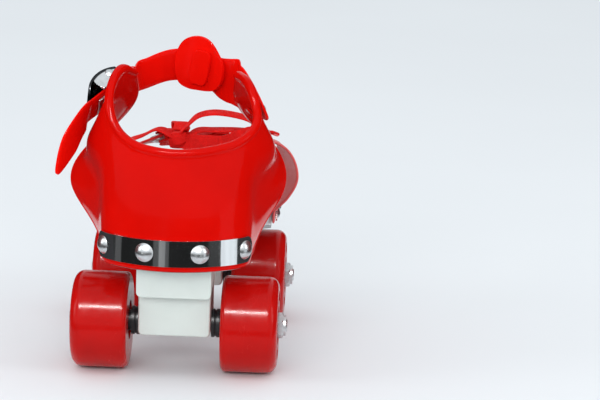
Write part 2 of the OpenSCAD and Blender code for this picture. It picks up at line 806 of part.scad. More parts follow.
bush_r = pivot_r + run_gap + bush_wall;
module axle_block() {
    bottom = axle_z - block_foot;
    color([0.90, 0.93, 0.91]) difference() {
        union() {
            from_behind(-block_half_l, block_half_l) {
                skirt(block_half_w, bottom, shoulder_z, 2.5);
                translate([-lug_r, shoulder_z - 1]) square([2 * lug_r, pivot_z - shoulder_z + 1]);
                translate([0, pivot_z]) circle(lug_r);
            }
        }
        translate([0, 50, pivot_z]) rotate([90, 0, 0]) cylinder(r = bush_r, h = 100);
        translate([0, 0, axle_z]) along_x(-50) cylinder(r = axle_r, h = 100);
    }
}

module pivot_bush() {
    color([0.12, 0.12, 0.12]) translate([0, block_half_l, pivot_z]) rotate([90, 0, 0]) difference() {
        cylinder(r = bush_r, h = 2 * block_half_l);
        translate([0, 0, -1]) cylinder(r = pivot_r + run_gap, h = 2 * block_half_l + 2);
    }
}

// Rings on the axle, on both sides of the block
module on_axle(x) {
    translate([0, 0, axle_z]) both_sides() along_x(x) children();
}

module ring(r_out, r_in, h) {
    rotate_extrude() translate([r_in, 0]) square([r_out - r_in, h]);
}

// Six-sided head or nut with a rounded outer edge
module hexagon(h) {
    intersection() {
        cylinder(r = nut_af / 2 / cos(30), h = h, $fn = 6);
        translate([0, 0, -h]) cylinder(r1 = nut_af / 2 + 2.2 * h, r2 = nut_af / 2 + 0.1, h = 2 * h);
    }
}

module axle() {
    tip = 0.8;
    color("lightgray") translate([0, 0, axle_z]) {
        along_x(-nut_x) cylinder(r = axle_r, h = nut_x + axle_end - tip);
        along_x(axle_end - tip) cylinder(r1 = axle_r, r2 = axle_r - tip, h = tip);
        mirror([1, 0, 0]) along_x(nut_x) hexagon(axle_head_h);
    }
}

sleeve_step = 1.2;
module sleeves() {
    length = bearing_in - block_half_w;
    collar = length - recess_in - sleeve_step;
    color([0.06, 0.06, 0.07]) on_axle(block_half_w) rotate_extrude() difference() {
        union() {
            translate([axle_r, 0]) square([sleeve_r - axle_r, collar]);
            translate([axle_r, 0]) square([inner_ring_r - axle_r, length]);
        }
        translate([sleeve_r, collar / 2]) circle(0.6);
    }
}

inner_ring_r = race_mid - race_gap / 2;
outer_ring_r = race_mid + race_gap / 2;
module axle_washers() {
    color("silver") on_axle(bearing_out) ring(inner_ring_r, axle_r, washer_t);
}

module axle_nut() {
    collar_h = 1.5;
    color("gainsboro") translate([0, 0, axle_z]) along_x(nut_x) difference() {
        union() {
            hexagon(nut_h - collar_h);
            cylinder(r = nut_af / 2 - 0.7, h = nut_h);
        }
        translate([0, 0, -1]) cylinder(r = axle_r, h = nut_h + 2);
    }
}

module groove() {
    translate([race_mid, bearing_w / 2]) circle(ball_r + run_gap);
}

// Both bearings of one wheel, given the side it is on
module at_bearings(side) {
    translate([0, 0, axle_z]) mirror([side < 0 ? 1 : 0, 0, 0])
        for (x = [bearing_in, bearing_out - bearing_w]) along_x(x) children();
}

module inner_rings() {
    color("silver") for (side = [-1, 1]) at_bearings(side) rotate_extrude() difference() {
        translate([axle_r, 0]) square([inner_ring_r - axle_r, bearing_w]);
        groove();
    }
}

module spacers() {
    color("darkgray") on_axle(bearing_in + bearing_w)
        ring(inner_ring_r, axle_r, bearing_out - bearing_in - 2 * bearing_w);
}

shield_t = 0.5;
shield_in = 0.4;
module bearings(side) {
    color([0.3, 0.3, 0.32]) at_bearings(side) {
        rotate_extrude() difference() {
            translate([outer_ring_r, 0]) square([bearing_r - outer_ring_r, bearing_w]);
            groove();
        }
        for (z = [shield_in, bearing_w - shield_in - shield_t])
            translate([0, 0, z]) ring(outer_ring_r, inner_ring_r + 0.25, shield_t);
    }
}

module balls(side) {
    color("silver") at_bearings(side) for (k = [0 : ball_count - 1])
        rotate([0, 0, 360 * k / ball_count]) translate([race_mid, 0, bearing_w / 2]) sphere(ball_r);
}

// Section of a wheel: x is the radius, y the distance from the inner face
dish_in = 14;
dish_rim = 5.5;
dish_depth = 1.6;
module wheel_section() {
    hub_r = bearing_r - 1.6;
    inner_seat = recess_in + bearing_w;
    outer_seat = recess_out + bearing_w;
    difference() {
        union() {
            translate([0, wheel_edge_r]) square([wheel_r, wheel_w - wheel_edge_r - wheel_shoulder_r]);
            square([wheel_r - wheel_edge_r, wheel_w - wheel_shoulder_r]);
            square([wheel_r - wheel_shoulder_r, wheel_w]);
            translate([wheel_r - wheel_edge_r, wheel_edge_r]) circle(wheel_edge_r);
            translate([wheel_r - wheel_shoulder_r, wheel_w - wheel_shoulder_r]) circle(wheel_shoulder_r);
        }
        translate([0, -1]) square([bearing_r, inner_seat + 1]);
        square([hub_r, wheel_w]);
        translate([0, wheel_w - outer_seat]) square([bearing_r, outer_seat + 1]);
        translate([dish_in, wheel_w - dish_depth])
            square([wheel_r - wheel_shoulder_r - dish_rim + 4 - dish_in, dish_depth + 1]);
    }
}

module wheel(side) {
    color([0.78, 0.04, 0.03]) translate([0, 0, axle_z]) mirror([side < 0 ? 1 : 0, 0, 0])
        along_x(wheel_in) rotate_extrude($fn = 128) wheel_section();
}

// Toe half
toe_front = wheelbase + 26;
toe_back = wheelbase - 38;
toe_corner_r = 12;
flap_back = wheelbase - 36;
flap_front = wheelbase + 22;
guide_w = 2;
guide_lip = 3.5;
guide_x = tongue_w / 2 + slide_gap;
bolt_r = 2.5;
bolt_head_r = 4.4;

module toe_outline() {
    half = toe_half_w;
    translate([-half, toe_back]) square([2 * half, toe_front - toe_back - toe_corner_r]);
    translate([toe_corner_r - half, toe_front - toe_corner_r - 0.01])
        square([2 * (half - toe_corner_r), toe_corner_r + 0.01]);
    both_sides() translate([half - toe_corner_r, toe_front - toe_corner_r]) circle(toe_corner_r);
    polygon([[-half, toe_back], [half, toe_back], [guide_x + guide_w, toe_rear + 12],
        [guide_x + guide_w, toe_rear], [-guide_x - guide_w, toe_rear], [-guide_x - guide_w, toe_rear + 12]]);
}

module toe_plate() {
    guide_l = tongue_tip - 12 - toe_rear;
    drop = plate_t + 2 * slide_gap;
    color("silver") difference() {
        union() {
            translate([0, 0, -plate_t]) linear_extrude(plate_t) toe_outline();
            both_sides() {
                translate([toe_half_w - flange_t, flap_back, -plate_t])
                    cube([flange_t, flap_front - flap_back, plate_t + toe_flange_h]);
                translate([guide_x, toe_rear, -plate_t - drop - guide_w])
                    cube([guide_w, guide_l, drop + guide_w]);
                translate([guide_x - guide_lip, toe_rear, -plate_t - drop - guide_w])
                    cube([guide_lip + guide_w, guide_l, guide_w]);
            }
        }
        translate([0, wheelbase, 0]) at_truck_screws() flush_hole(screw_r, screw_head_r, plate_t + 1);
        translate([0, bolt_y, 0]) flush_hole(bolt_r, bolt_head_r, plate_t + 1);
        at_flap_rivets() translate([0, 0, -20]) cylinder(r = flap_rivet_r, h = 40);
    }
}

// Flaps: section from the toe plate's side up and over to the lace, as steps out and heights
flap_base_h = 7.5;
flap_out = fit_gap + flap_t / 2;
lace_edge = toe_half_w - lace_gap / 2;
inner_section = [[0, flap_base_h], [0.56 * flap_swell, 16], [flap_swell, 30],
    [0.48 * flap_swell, flap_h - 6], [-14, flap_h], [-lace_edge, flap_h - 3]];
outer_section = [[0, flap_base_h], [0.45 * flap_swell, 12.5], [0.62 * flap_swell, 23.5],
    [-3, flap_h - 14], [-21, flap_h - 7], [-lace_edge, flap_h - 2]];
flap_back_line = [0, 0, -5, -6, -4, 0, 8];
flap_front_line = [0, 0, 2, 3, 1, -4, -13];
flap_share = 0.12;
toe_drop = 0.28;
toe_tuck = 1.1;

function flap_section(side, v) =
    v < flap_share ? [flap_out, mix(-0.5, flap_base_h, v / flap_share)]
    : through(side > 0 ? inner_section : outer_section, (v - flap_share) / (1 - flap_share)) + [flap_out, 0];

// Point of a flap's middle surface: v from the plate to the lace edge, w from back to toe
function flap_point(side, v, w) =
    let (p = flap_section(side, v),
         over = max(0, p[0] - flap_out),
         rise = max(0, p[1] - flap_base_h),
         y0 = flap_back + through(flap_back_line, v),
         y1 = flap_front + through(flap_front_line, v))
    [side * (toe_half_w + p[0] - over * toe_tuck * w), mix(y0, y1, w), p[1] - rise * toe_drop * w];
function flap_normal(side, v, w) =
    let (a = max(v - 0.01, 0), b = min(v + 0.01, 1))
    side * unit(cross(flap_point(side, v, w + 0.01) - flap_point(side, v, w - 0.01),
        flap_point(side, b, w) - flap_point(side, a, w)));

flap_rows = 20;
flap_cols = 12;
function flap_grid(side, face) =
    [for (i = [0 : flap_rows])
        [for (j = [0 : flap_cols])
            let (v = i / flap_rows, w = side > 0 ? j / flap_cols : 1 - j / flap_cols)
            flap_point(side, v, w) + face * flap_t / 2 * flap_normal(side, v, w)]];

module flap(side) {
    color([0.87, 0.08, 0.06]) sheet(flap_grid(side, 1), flap_grid(side, -1));
}

strip_t = 1;
strip_z = 1;
strip_h = 5.9;
strip_end = 4;
strip_x = toe_half_w + 2 * fit_gap + flap_t;
flap_rivet_r = 1.6;
flap_head_r = 3;
flap_foot_r = 1.9;
module at_flap_rivets() {
    both_sides() for (k = [0 : 2])
        translate([strip_x + strip_t, mix(flap_back, flap_front, (k + 0.6) / 3.2), strip_z + strip_h / 2])
            rotate([0, 90, 0]) children();
}

module flap_strips() {
    color("gainsboro") difference() {
        both_sides() translate([strip_x, flap_back + strip_end, strip_z])
            cube([strip_t, flap_front - flap_back - 2 * strip_end, strip_h]);
        at_flap_rivets() translate([0, 0, -5]) cylinder(r = flap_rivet_r, h = 10);
    }
}

module flap_rivets() {
    grip = strip_x + strip_t - toe_half_w + flange_t;
    color("lightgray") at_flap_rivets() rivet(flap_head_r, 1.4, flap_rivet_r, grip, flap_foot_r, 0.6);
}

// Eyelets along the lace edge of each flap
eyelet_v = 0.925;
eyelet_ws = [0.16, 0.5, 0.84];
eyelet_rim = 1.7;
eyelet_lip = 0.5;
function eyelet_at(side, k) = flap_point(side, eyelet_v, eyelet_ws[k]);
function eyelet_up(side, k) = flap_normal(side, eyelet_v, eyelet_ws[k]);

module eyelets() {
    tall = flap_t / 2 + eyelet_lip;
    color("lightgray") for (side = [-1, 1], k = [0 : 2]) {
        up = eyelet_up(side, k);
        ex = unit(cross([0, 1, 0], up));
        in_frame(eyelet_at(side, k), ex, cross(up, ex), up) difference() {
            union() {
                translate([0, 0, -tall]) cylinder(r = eyelet_r + 0.5, h = 2 * tall);
                for (z = [-tall, flap_t / 2])
                    translate([0, 0, z]) cylinder(r = eyelet_r + eyelet_rim, h = eyelet_lip);
            }
            translate([0, 0, -5]) cylinder(r = eyelet_r, h = 10);
        }
    }
}

// Lace between the eyelets: a bar under the toe pair, two crossings, two ties to the knot
knot_at = [-6.5, wheelbase - 31, 47];
knot_r = 4.6;
lace_rise = flap_t / 2 + eyelet_lip + 2 * fit_gap + lace_t / 2;
function lace_over(side, k, face) =
    [eyelet_at(side, k) + face * lace_rise * eyelet_up(side, k), eyelet_up(side, k)];
function lace_lip(side, k, face) =
    let (up = flap_normal(side, 0.98, eyelet_ws[k]))
    [flap_point(side, 0.98, eyelet_ws[k]) + face * lace_rise * up - side * [3, 0, 0], up];
function crossing(side, k, lift) =
    let (a = lace_lip(side, k + 1, 1)[0], b = lace_lip(-side, k, -1)[0])
    [lace_over(side, k + 1, 1), lace_lip(side, k + 1, 1), [mix(a, b, 0.5) + [0, 0, lift], [0, 0, 1]],
        lace_lip(-side, k, -1), lace_over(-side, k, -1)];
function tie(side) =
    let (lip = lace_lip(side, 0, 1)[0] + [0, 0, 0.6], end = knot_at + [side * 2, 0, -0.5])
    [lace_over(side, 0, 1), [lip, [0, 0, 1]], [mix(lip, end, 0.5), [0, 0, 1]], [end, [0, 0, 1]]];

module lace_rungs() {
    color([0.80, 0.04, 0.05]) {
        for (k = [0, 1]) {
            routed_band(crossing(1, k, 1.1), 10, lace_w / 2, lace_t / 2);
            routed_band(crossing(-1, k, -1.1), 10, lace_w / 2, lace_t / 2);
        }
        for (side = [-1, 1]) routed_band(tie(side), 6, lace_w / 2, lace_t / 2);
        routed_band([lace_over(-1, 2, -1), lace_lip(-1, 2, -1), lace_lip(1, 2, -1), lace_over(1, 2, -1)],
            8, lace_w / 2, lace_t / 2);
    }
}

module lace_knot() {
    color([0.78, 0.04, 0.05]) translate(knot_at) {
        sphere(knot_r);
        rotate([90, 0, 0]) rotate_extrude() translate([knot_r - 0.6, 0]) circle(1.3);
    }
}

// Free lace from the knot: points from the knot and the way the flat side faces there
loop_right = [[[0.5, 0, 4.2], [-0.8, 0, 0.5]], [[5, 1, 9], [-0.9, -0.1, 0.4]],
    [[11, 2, 14.5], [-0.4, -0.15, 1]], [[20, 3, 16.5], [0, -0.15, 1]],
    [[31, 4, 15.5], [0.2, -0.15, 1]], [[40, 5, 13], [0.6, -0.1, 0.8]],
    [[43.5, 5, 9.5], [1, 0, 0]], [[40, 4, 7], [0.4, 0, -0.9]], [[31, 3, 6.6], [0, 0.1, -1]],
    [[20, 2, 6.4], [0, 0.1, -1]], [[11, 1, 6], [0, 0.1, -1]], [[3.5, 0, 1.6], [-0.2, 0, -1]]];
loop_left = [[[1, 3, 5.2], [0, -0.3, 0.9]], [[1, 11, 7.6], [0, -0.1, 1]], [[0, 21, 6.2], [0, 0.1, 1]],
    [[-1.5, 31, 4.2], [0, 0.3, 0.9]], [[-3, 38, 2.4], [0, 0.7, 0.7]], [[-3.2, 41.5, -0.2], [0, 1, -0.1]],
    [[-2.5, 38, -2.6], [0, 0.3, -0.9]], [[-0.8, 29, 0.2], [0, -0.1, -1]], [[0.5, 20, 3], [0, -0.1, -1]],
    [[1, 11, 5.2], [0, 0, -1]], [[1, 3, 3.2], [0, 0.2, -1]]];
tail_right = [[[3, -2, 0], [0, -0.9, 0.3]], [[9, -7, 0.5], [0, -0.95, 0.3]], [[18, -11, 1], [0, -0.95, 0.3]],
    [[28, -13, 2], [0, -0.95, 0.3]], [[37, -12, 6], [-0.2, -0.8, 0.6]], [[44, -9, 9], [0, -0.4, 0.9]],
    [[51, -3, 8], [0.1, 0.1, 1]], [[54, 5, 5.5], [0.3, 0.1, 1]]];
tail_left = [[[-2, 0, 2], [-0.3, 0, 0.9]], [[-12, 3, 5.5], [-0.2, 0, 1]], [[-22, 6, 0.5], [-0.4, 0, 0.9]],
    [[-31, 10, -3.5], [-0.45, 0, 0.9]], [[-39, 14, -8], [-0.55, 0, 0.85]]];

module free_lace(route, steps) {
    color([0.80, 0.04, 0.05])
        routed_band([for (r = route) [knot_at + r[0], r[1]]], steps, lace_w / 2, lace_t / 2);
}

// Rolled tips on the ends of the lace
tip_l = 11;
tip_r = 1.3;
module lace_tip(route) {
    n = len(route) - 1;
    a = knot_at + route[n][0];
    dir = unit(route[n][0] - route[n - 1][0]);
    ex = unit(cross(route[n][1], dir));
    in_frame(a, ex, cross(dir, ex), dir) cylinder(r = tip_r, h = tip_l);
}

module lace_tips() {
    color([0.75, 0.1, 0.1]) {
        lace_tip(tail_left);
        lace_tip(tail_right);
    }
}

// Length adjuster under the tongue
washer_z = tongue_z - plate_t - run_gap;
adjuster_washer_t = 1.2;
wing_nut_z = washer_z - adjuster_washer_t - run_gap;
module adjuster_bolt() {
    color("lightgray") translate([0, bolt_y, 0]) flush_screw(bolt_r, bolt_head_r, 18);
}

module adjuster_washer() {
    color("silver") translate([0, bolt_y, washer_z - adjuster_washer_t]) ring(6, bolt_r, adjuster_washer_t);
}

module adjuster_wing_nut() {
    body_h = 8;
    color("gainsboro") translate([0, bolt_y, wing_nut_z - body_h]) difference() {
        union() {
            translate([0, 0, 3]) cylinder(r1 = 4.6, r2 = 5.4, h = body_h - 3);
            both_sides() from_behind(-1, 1) {
                translate([3, 0]) square([5, 4]);
                translate([8.5, 1.5]) circle(3.6);
            }
            cylinder(r = 4.6, h = 3.01);
        }
        translate([0, 0, -3]) cylinder(r = bolt_r + run_gap, h = body_h + 6);
    }
}

heel_plate();
heel_cup();
heel_band();
heel_rivets();
ankle_strap();
strap_pad();
wing_rivets();
buckle_frame();
buckle_pin();
buckle_lever();
at_truck(false) truck_base();  // rear_truck_base
at_truck(false) truck_screws();  // rear_truck_screws
at_truck(false) pivot_pin();  // rear_pivot_pin
at_truck(false) axle_block();  // rear_axle_block
at_truck(false) pivot_bush();  // rear_pivot_bush
at_truck(false) axle();  // rear_axle
at_truck(false) sleeves();  // rear_sleeves
at_truck(false) axle_washers();  // rear_axle_washers
at_truck(false) axle_nut();  // rear_axle_nut
at_truck(false) inner_rings();  // rear_inner_rings
at_truck(false) spacers();  // rear_spacers
at_truck(true) truck_base();  // front_truck_base
at_truck(true) truck_screws();  // front_truck_screws
at_truck(true) pivot_pin();  // front_pivot_pin
at_truck(true) axle_block();  // front_axle_block
at_truck(true) pivot_bush();  // front_pivot_bush
at_truck(true) axle();  // front_axle
at_truck(true) sleeves();  // front_sleeves
at_truck(true) axle_washers();  // front_axle_washers
at_truck(true) axle_nut();  // front_axle_nut
at_truck(true) inner_rings();  // front_inner_rings
at_truck(true) spacers();  // front_spacers
at_truck(false) wheel(-1);  // rear_left_wheel
at_truck(false) bearings(-1);  // rear_left_bearings
at_truck(false) balls(-1);  // rear_left_balls
at_truck(false) wheel(1);  // rear_right_wheel
at_truck(false) bearings(1);  // rear_right_bearings
at_truck(false) balls(1);  // rear_right_balls
at_truck(true) wheel(-1);  // front_left_wheel
at_truck(true) bearings(-1);  // front_left_bearings
at_truck(true) balls(-1);  // front_left_balls
at_truck(true) wheel(1);  // front_right_wheel
at_truck(true) bearings(1);  // front_right_bearings
at_truck(true) balls(1);  // front_right_balls
toe_plate();
flap(-1);  // flap_left
flap(1);  // flap_right
flap_strips();
flap_rivets();
eyelets();
lace_rungs();
lace_knot();
free_lace(loop_left, 20);  // lace_loop_left
free_lace(loop_right, 20);  // lace_loop_right
free_lace(tail_left, 10);  // lace_tail_left
free_lace(tail_right, 10);  // lace_tail_right
lace_tips();
adjuster_bolt();
adjuster_washer();
adjuster_wing_nut();
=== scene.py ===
"""Looks of a strap-on quad roller skate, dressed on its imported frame."""

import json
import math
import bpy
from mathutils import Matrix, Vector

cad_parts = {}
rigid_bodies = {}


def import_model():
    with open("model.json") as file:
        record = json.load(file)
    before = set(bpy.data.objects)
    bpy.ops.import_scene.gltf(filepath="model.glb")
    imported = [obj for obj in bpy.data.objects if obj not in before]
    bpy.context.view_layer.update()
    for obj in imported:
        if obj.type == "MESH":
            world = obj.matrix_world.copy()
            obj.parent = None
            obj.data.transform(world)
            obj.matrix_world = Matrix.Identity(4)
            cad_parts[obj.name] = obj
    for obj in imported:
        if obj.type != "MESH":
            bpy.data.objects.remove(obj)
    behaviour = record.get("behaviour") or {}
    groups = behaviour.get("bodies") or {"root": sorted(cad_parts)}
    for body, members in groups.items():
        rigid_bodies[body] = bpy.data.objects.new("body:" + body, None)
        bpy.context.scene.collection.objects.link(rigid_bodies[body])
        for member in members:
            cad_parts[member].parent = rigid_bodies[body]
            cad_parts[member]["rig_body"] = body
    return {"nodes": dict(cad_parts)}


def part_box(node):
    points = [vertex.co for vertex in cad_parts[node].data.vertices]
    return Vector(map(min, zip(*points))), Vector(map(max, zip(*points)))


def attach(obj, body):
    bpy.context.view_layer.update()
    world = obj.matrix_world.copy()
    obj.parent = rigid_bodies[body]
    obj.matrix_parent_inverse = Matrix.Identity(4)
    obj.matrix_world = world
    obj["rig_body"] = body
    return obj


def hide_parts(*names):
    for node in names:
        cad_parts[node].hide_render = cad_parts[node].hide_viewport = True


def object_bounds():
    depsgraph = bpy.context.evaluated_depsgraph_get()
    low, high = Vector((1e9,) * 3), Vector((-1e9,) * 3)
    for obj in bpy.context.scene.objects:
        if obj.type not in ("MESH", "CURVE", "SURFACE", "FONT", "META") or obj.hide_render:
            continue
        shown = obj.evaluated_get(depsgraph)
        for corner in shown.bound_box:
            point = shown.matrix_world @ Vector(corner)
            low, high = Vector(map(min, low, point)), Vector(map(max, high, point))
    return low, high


bl_info = {
    "name": "Strap-on roller skate",
    "version": (1, 0, 0),
    "blender": (4, 5, 0),
    "location": "View3D > Sidebar > Skate",
    "description": "Dresses the skate's frame with vinyl, laces, chrome and wheels",
    "category": "Object",
}

import bmesh
import bpy
from mathutils import Matrix, Vector

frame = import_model()
CAD_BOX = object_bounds()
NODES = frame["nodes"]
MM = 0.001
# Distances in metres below which two places count as one, and two points are welded
NEAR, WELD = 1e-6, 2e-6
# Angle at which no edge of a piece stays sharp
SMOOTH = 180.0
ENDS = ("rear", "front")
SIDES = ("left", "right")


# Properties


def colour_prop(name, text, value):
    return bpy.props.FloatVectorProperty(
        name=name, description=text, default=value, subtype="COLOR", size=3, min=0.0, max=1.0
    )


def length_prop(name, text, value, low, high):
    return bpy.props.FloatProperty(
        name=name, description=text, default=value, min=low, max=high, subtype="DISTANCE", unit="LENGTH"
    )


def power_prop(name, text, value):
    return bpy.props.FloatProperty(name=name, description=text, default=value, min=0.0, unit="POWER")


class SkateColours(bpy.types.PropertyGroup):
    """Colours of the skate's finishes"""

    vinyl: colour_prop("Vinyl", "Soft red vinyl of the cup", (0.58, 0.0028, 0.001))
    # Strap: the cup's red vinyl painted brighter, as painted light for the strap and pad, which face inwards
    # and down
    strap: colour_prop("Strap", "Thinner, brighter vinyl of the strap and pad", (0.82, 0.005, 0.002))
    flap: colour_prop("Flap", "Matt, paler vinyl of the toe flaps", (0.60, 0.012, 0.012))
    # Flap outside: painted sheen, the pinkish light that the outsides of the flaps mirror at a grazing view
    flap_painted_sheen: colour_prop("Flap outside", "Faded, pinkish outside of the flaps", (0.72, 0.11, 0.11))
    wheel: colour_prop("Wheel", "Hard red plastic of the wheels", (0.46, 0.0025, 0.0015))
    lace: colour_prop("Lace", "Red of the woven lace", (0.88, 0.008, 0.006))
    nylon: colour_prop("Nylon", "Cool white of the trucks", (0.63, 0.685, 0.65))
    chrome: colour_prop("Chrome", "Bright plating of the heel band and the lever", (0.80, 0.82, 0.83))
    dark_plate: colour_prop("Dark plate", "Black nickel of the lever's bowed top", (0.035, 0.037, 0.04))
    zinc: colour_prop("Zinc", "Satin plating of rivets, plates and screws", (0.66, 0.68, 0.69))
    sleeve: colour_prop("Sleeve", "Black plastic of the axle sleeves", (0.012, 0.013, 0.015))
    rubber: colour_prop("Rubber", "Rubber of the pivot bushes", (0.02, 0.02, 0.02))


class SkateSizes(bpy.types.PropertyGroup):
    """Sizes of the pieces that the frame does not fix"""

    lace_width: length_prop("Lace width", "Width of the flat lace", 0.0095, 0.004, 0.012)
    lace_thickness: length_prop("Lace thickness", "Thickness of the flat lace", 0.0014, 0.0008, 0.003)
    tip_radius: length_prop("Tip radius", "Radius of the rolled lace tips", 0.0013, 0.0008, 0.003)
    tip_length: length_prop("Tip length", "Length of the rolled lace tips", 0.011, 0.005, 0.02)
    moulded_edge: length_prop("Moulded edge", "Rounding of the trucks' edges", 0.0011, 0.0002, 0.003)
    pressed_edge: length_prop("Pressed edge", "Rounding of the sheet metal's edges", 0.0003, 0.0001, 0.001)


class SkateStage(bpy.types.PropertyGroup):
    """Floor, light and camera"""

    floor: colour_prop("Floor", "Pale paper under the skate", (0.80, 0.835, 0.86))
    world_strength: bpy.props.FloatProperty(
        name="Sky strength", description="Light from all round", default=0.91, min=0.0, max=3.0
    )
    key_power: power_prop("Key power", "Soft light above and behind the camera", 12.0)
    fill_power: power_prop("Fill power", "Soft light from each side", 4.0)
    shine_power: power_prop("Shine power", "Narrow light that is only mirrored", 40.0)
    lens: bpy.props.FloatProperty(
        name="Lens", description="Focal length of the camera", default=144.66, min=20.0, unit="CAMERA"
    )


# Small tools for meshes


def put_in_scene(name, bm, material, smooth_angle=SMOOTH):
    """Object at the origin from a bmesh, smooth up to an angle."""
    mesh = bpy.data.meshes.new(name)
    bm.normal_update()
    bm.to_mesh(mesh)
    bm.free()
    mesh.polygons.foreach_set("use_smooth", [True] * len(mesh.polygons))
    if smooth_angle < SMOOTH:
        mesh.set_sharp_from_angle(angle=math.radians(smooth_angle))
    mesh.materials.append(material)
    obj = bpy.data.objects.new(name, mesh)
    bpy.context.scene.collection.objects.link(obj)
    return obj


def merged_copy(node):
    """Bmesh of a frame node with its loose triangles welded."""
    bm = bmesh.new()
    bm.from_mesh(NODES[node].data)
    bmesh.ops.remove_doubles(bm, verts=bm.verts, dist=WELD)
    return bm


def quad_copy(node):
    """Bmesh of a frame node whose triangle pairs are joined to quads again."""
    bm = merged_copy(node)
    bmesh.ops.join_triangles(
        bm,
        faces=bm.faces,
        angle_face_threshold=math.radians(60),
        angle_shape_threshold=math.radians(80),
        **dict.fromkeys(("cmp_seam", "cmp_sharp", "cmp_uvs", "cmp_vcols", "cmp_materials"), False),
    )
    return bm


def sharp_edges(bm, least_angle=35.0):
    least = math.radians(least_angle)
    return [e for e in bm.edges if len(e.link_faces) == 2 and e.calc_face_angle(0) > least]


def round_edges(bm, edges, radius, segments):
    bmesh.ops.bevel(
        bm,
        geom=edges,
        offset=radius,
        offset_type="OFFSET",
        segments=segments,
        profile=0.5,
        affect="EDGES",
        material=-1,
        clamp_overlap=True,
        loop_slide=True,
    )


def eased_copy(node, width):
    """Bmesh of a frame node with its sharp edges rounded."""
    bm = merged_copy(node)
    bmesh.ops.dissolve_limit(bm, angle_limit=math.radians(0.5), verts=bm.verts, edges=bm.edges)
    round_edges(bm, sharp_edges(bm), width, segments=2)
    return bm


def edges_along_y(bm, z):
    """Edges that run along Y at a height, on both sides."""
    found = []
    for e in bm.edges:
        a, b = (v.co for v in e.verts)
        level = abs(a.z - z) < NEAR and abs(b.z - z) < NEAR
        if level and abs(a.x - b.x) < NEAR < min(abs(a.x), abs(a.y - b.y)):
            found.append(e)
    return found


def new_verts(made):
    return [g for g in made["geom"] if isinstance(g, bmesh.types.BMVert)]


def extruded_profile(points, x_low, x_high):
    """Solid from an outline in the YZ plane, extruded along X."""
    bm = bmesh.new()
    face = bm.faces.new([bm.verts.new((x_low, y, z)) for y, z in points])
    made = bmesh.ops.extrude_face_region(bm, geom=[face], use_keep_orig=True)
    bmesh.ops.translate(bm, verts=new_verts(made), vec=(x_high - x_low, 0.0, 0.0))
    bmesh.ops.recalc_face_normals(bm, faces=bm.faces)
    return bm


def raise_strip(bm, z, half_width, y_low, y_high, rise):
    """Extrudes the middle of a level face, of the given width, up or down."""
    for x in (-half_width, half_width):
        geom = bm.verts[:] + bm.edges[:] + bm.faces[:]
        bmesh.ops.bisect_plane(bm, geom=geom, plane_co=(x, 0.0, 0.0), plane_no=(1.0, 0.0, 0.0), dist=1e-7)
    for f in bm.faces:
        c = f.calc_center_median()
        level = abs(c.z - z) < NEAR and abs(f.normal.z) > 0.9
        if level and abs(c.x) < half_width and y_low < c.y < y_high:
            made = bmesh.ops.extrude_face_region(bm, geom=[f])
            bmesh.ops.translate(bm, verts=new_verts(made), vec=(0.0, 0.0, rise))
            return
    raise RuntimeError("no level face to extrude")


# Swept bands


def through(points, t):
    """Smooth curve through evenly spaced points, t from 0 to 1."""
    n = len(points) - 1
    f = min(max(t, 0.0), 1.0) * n
    i = min(int(f), n - 1)
    u = f - i
    a, b, c, d = points[max(i - 1, 0)], points[i], points[i + 1], points[min(i + 2, n)]
    return 0.5 * (
        2 * b + (c - a) * u + (2 * a - 5 * b + 4 * c - d) * u * u + (3 * b - 3 * c + d - a) * u * u * u
    )


def band_frames(route, steps):
    """Positions along a route of points and facings, each with its across, out and along directions."""
    spots = [Vector(p) for p, _ in route]
    faces = [Vector(f) for _, f in route]
    pts = [through(spots, i / steps) for i in range(steps + 1)]
    found = []
    for i, p in enumerate(pts):
        along = (pts[min(i + 1, steps)] - pts[max(i - 1, 0)]).normalized()
        across = along.cross(through(faces, i / steps)).normalized()
        found.append((p, across, across.cross(along).normalized(), along))
    return found


def frame_matrix(spot, half_w, half_t):
    p, across, out, along = spot
    m = Matrix.Identity(4)
    for k in range(3):
        m[k][0], m[k][1], m[k][2], m[k][3] = across[k] * half_w, out[k] * half_t, along[k], p[k]
    return m


def sweep(bm, frames, widths, heights, sides=14, squareness=0.62):
    """Extrudes a flat, rounded section along the frames and notes each point's place on the band."""
    lay = bm.verts.layers.float_vector.get("lay") or bm.verts.layers.float_vector.new("lay")
    made = bmesh.ops.create_circle(bm, cap_ends=True, radius=1.0, segments=sides)
    ring = made["verts"]
    for v in ring:
        x, y = v.co.x, v.co.y
        v.co.x = math.copysign(abs(x) ** squareness, x)
        v.co.y = math.copysign(abs(y) ** squareness, y)
        v[lay] = (0.0, v.co.x * widths[0], v.co.y)
    across = {v: v.co.x for v in ring}
    last = frame_matrix(frames[0], widths[0], heights[0])
    bmesh.ops.transform(bm, matrix=last, verts=ring)
    face = next(f for f in ring[0].link_faces if len(f.verts) == sides)
    length = 0.0
    for i in range(1, len(frames)):
        length += (frames[i][0] - frames[i - 1][0]).length
        old = {tuple(v.co): v for v in face.verts}
        geom = bmesh.ops.extrude_face_region(bm, geom=[face])["geom"]
        face = next(g for g in geom if isinstance(g, bmesh.types.BMFace))
        moved = list(face.verts)
        for v in moved:
            source = old[tuple(v.co)]
            across[v] = across[source]
            v[lay] = (length, across[v] * widths[i], v[lay][2])
        here = frame_matrix(frames[i], widths[i], heights[i])
        bmesh.ops.transform(bm, matrix=here @ last.inverted(), verts=moved)
        last = here
    bmesh.ops.recalc_face_normals(bm, faces=bm.faces)
    return [f[0] for f in frames]


def eased(value, low, high):
    """Smooth step from 0 at low to 1 at high."""
    t = min(max((value - low) / (high - low), 0.0), 1.0)
    return t * t * (3.0 - 2.0 * t)


def metres(route, origin=(0.0, 0.0, 0.0)):
    """Route in millimetres from an origin, as one in metres."""
    return [((Vector(origin) + Vector(p)) * MM, Vector(f)) for p, f in route]


# Small tools for materials

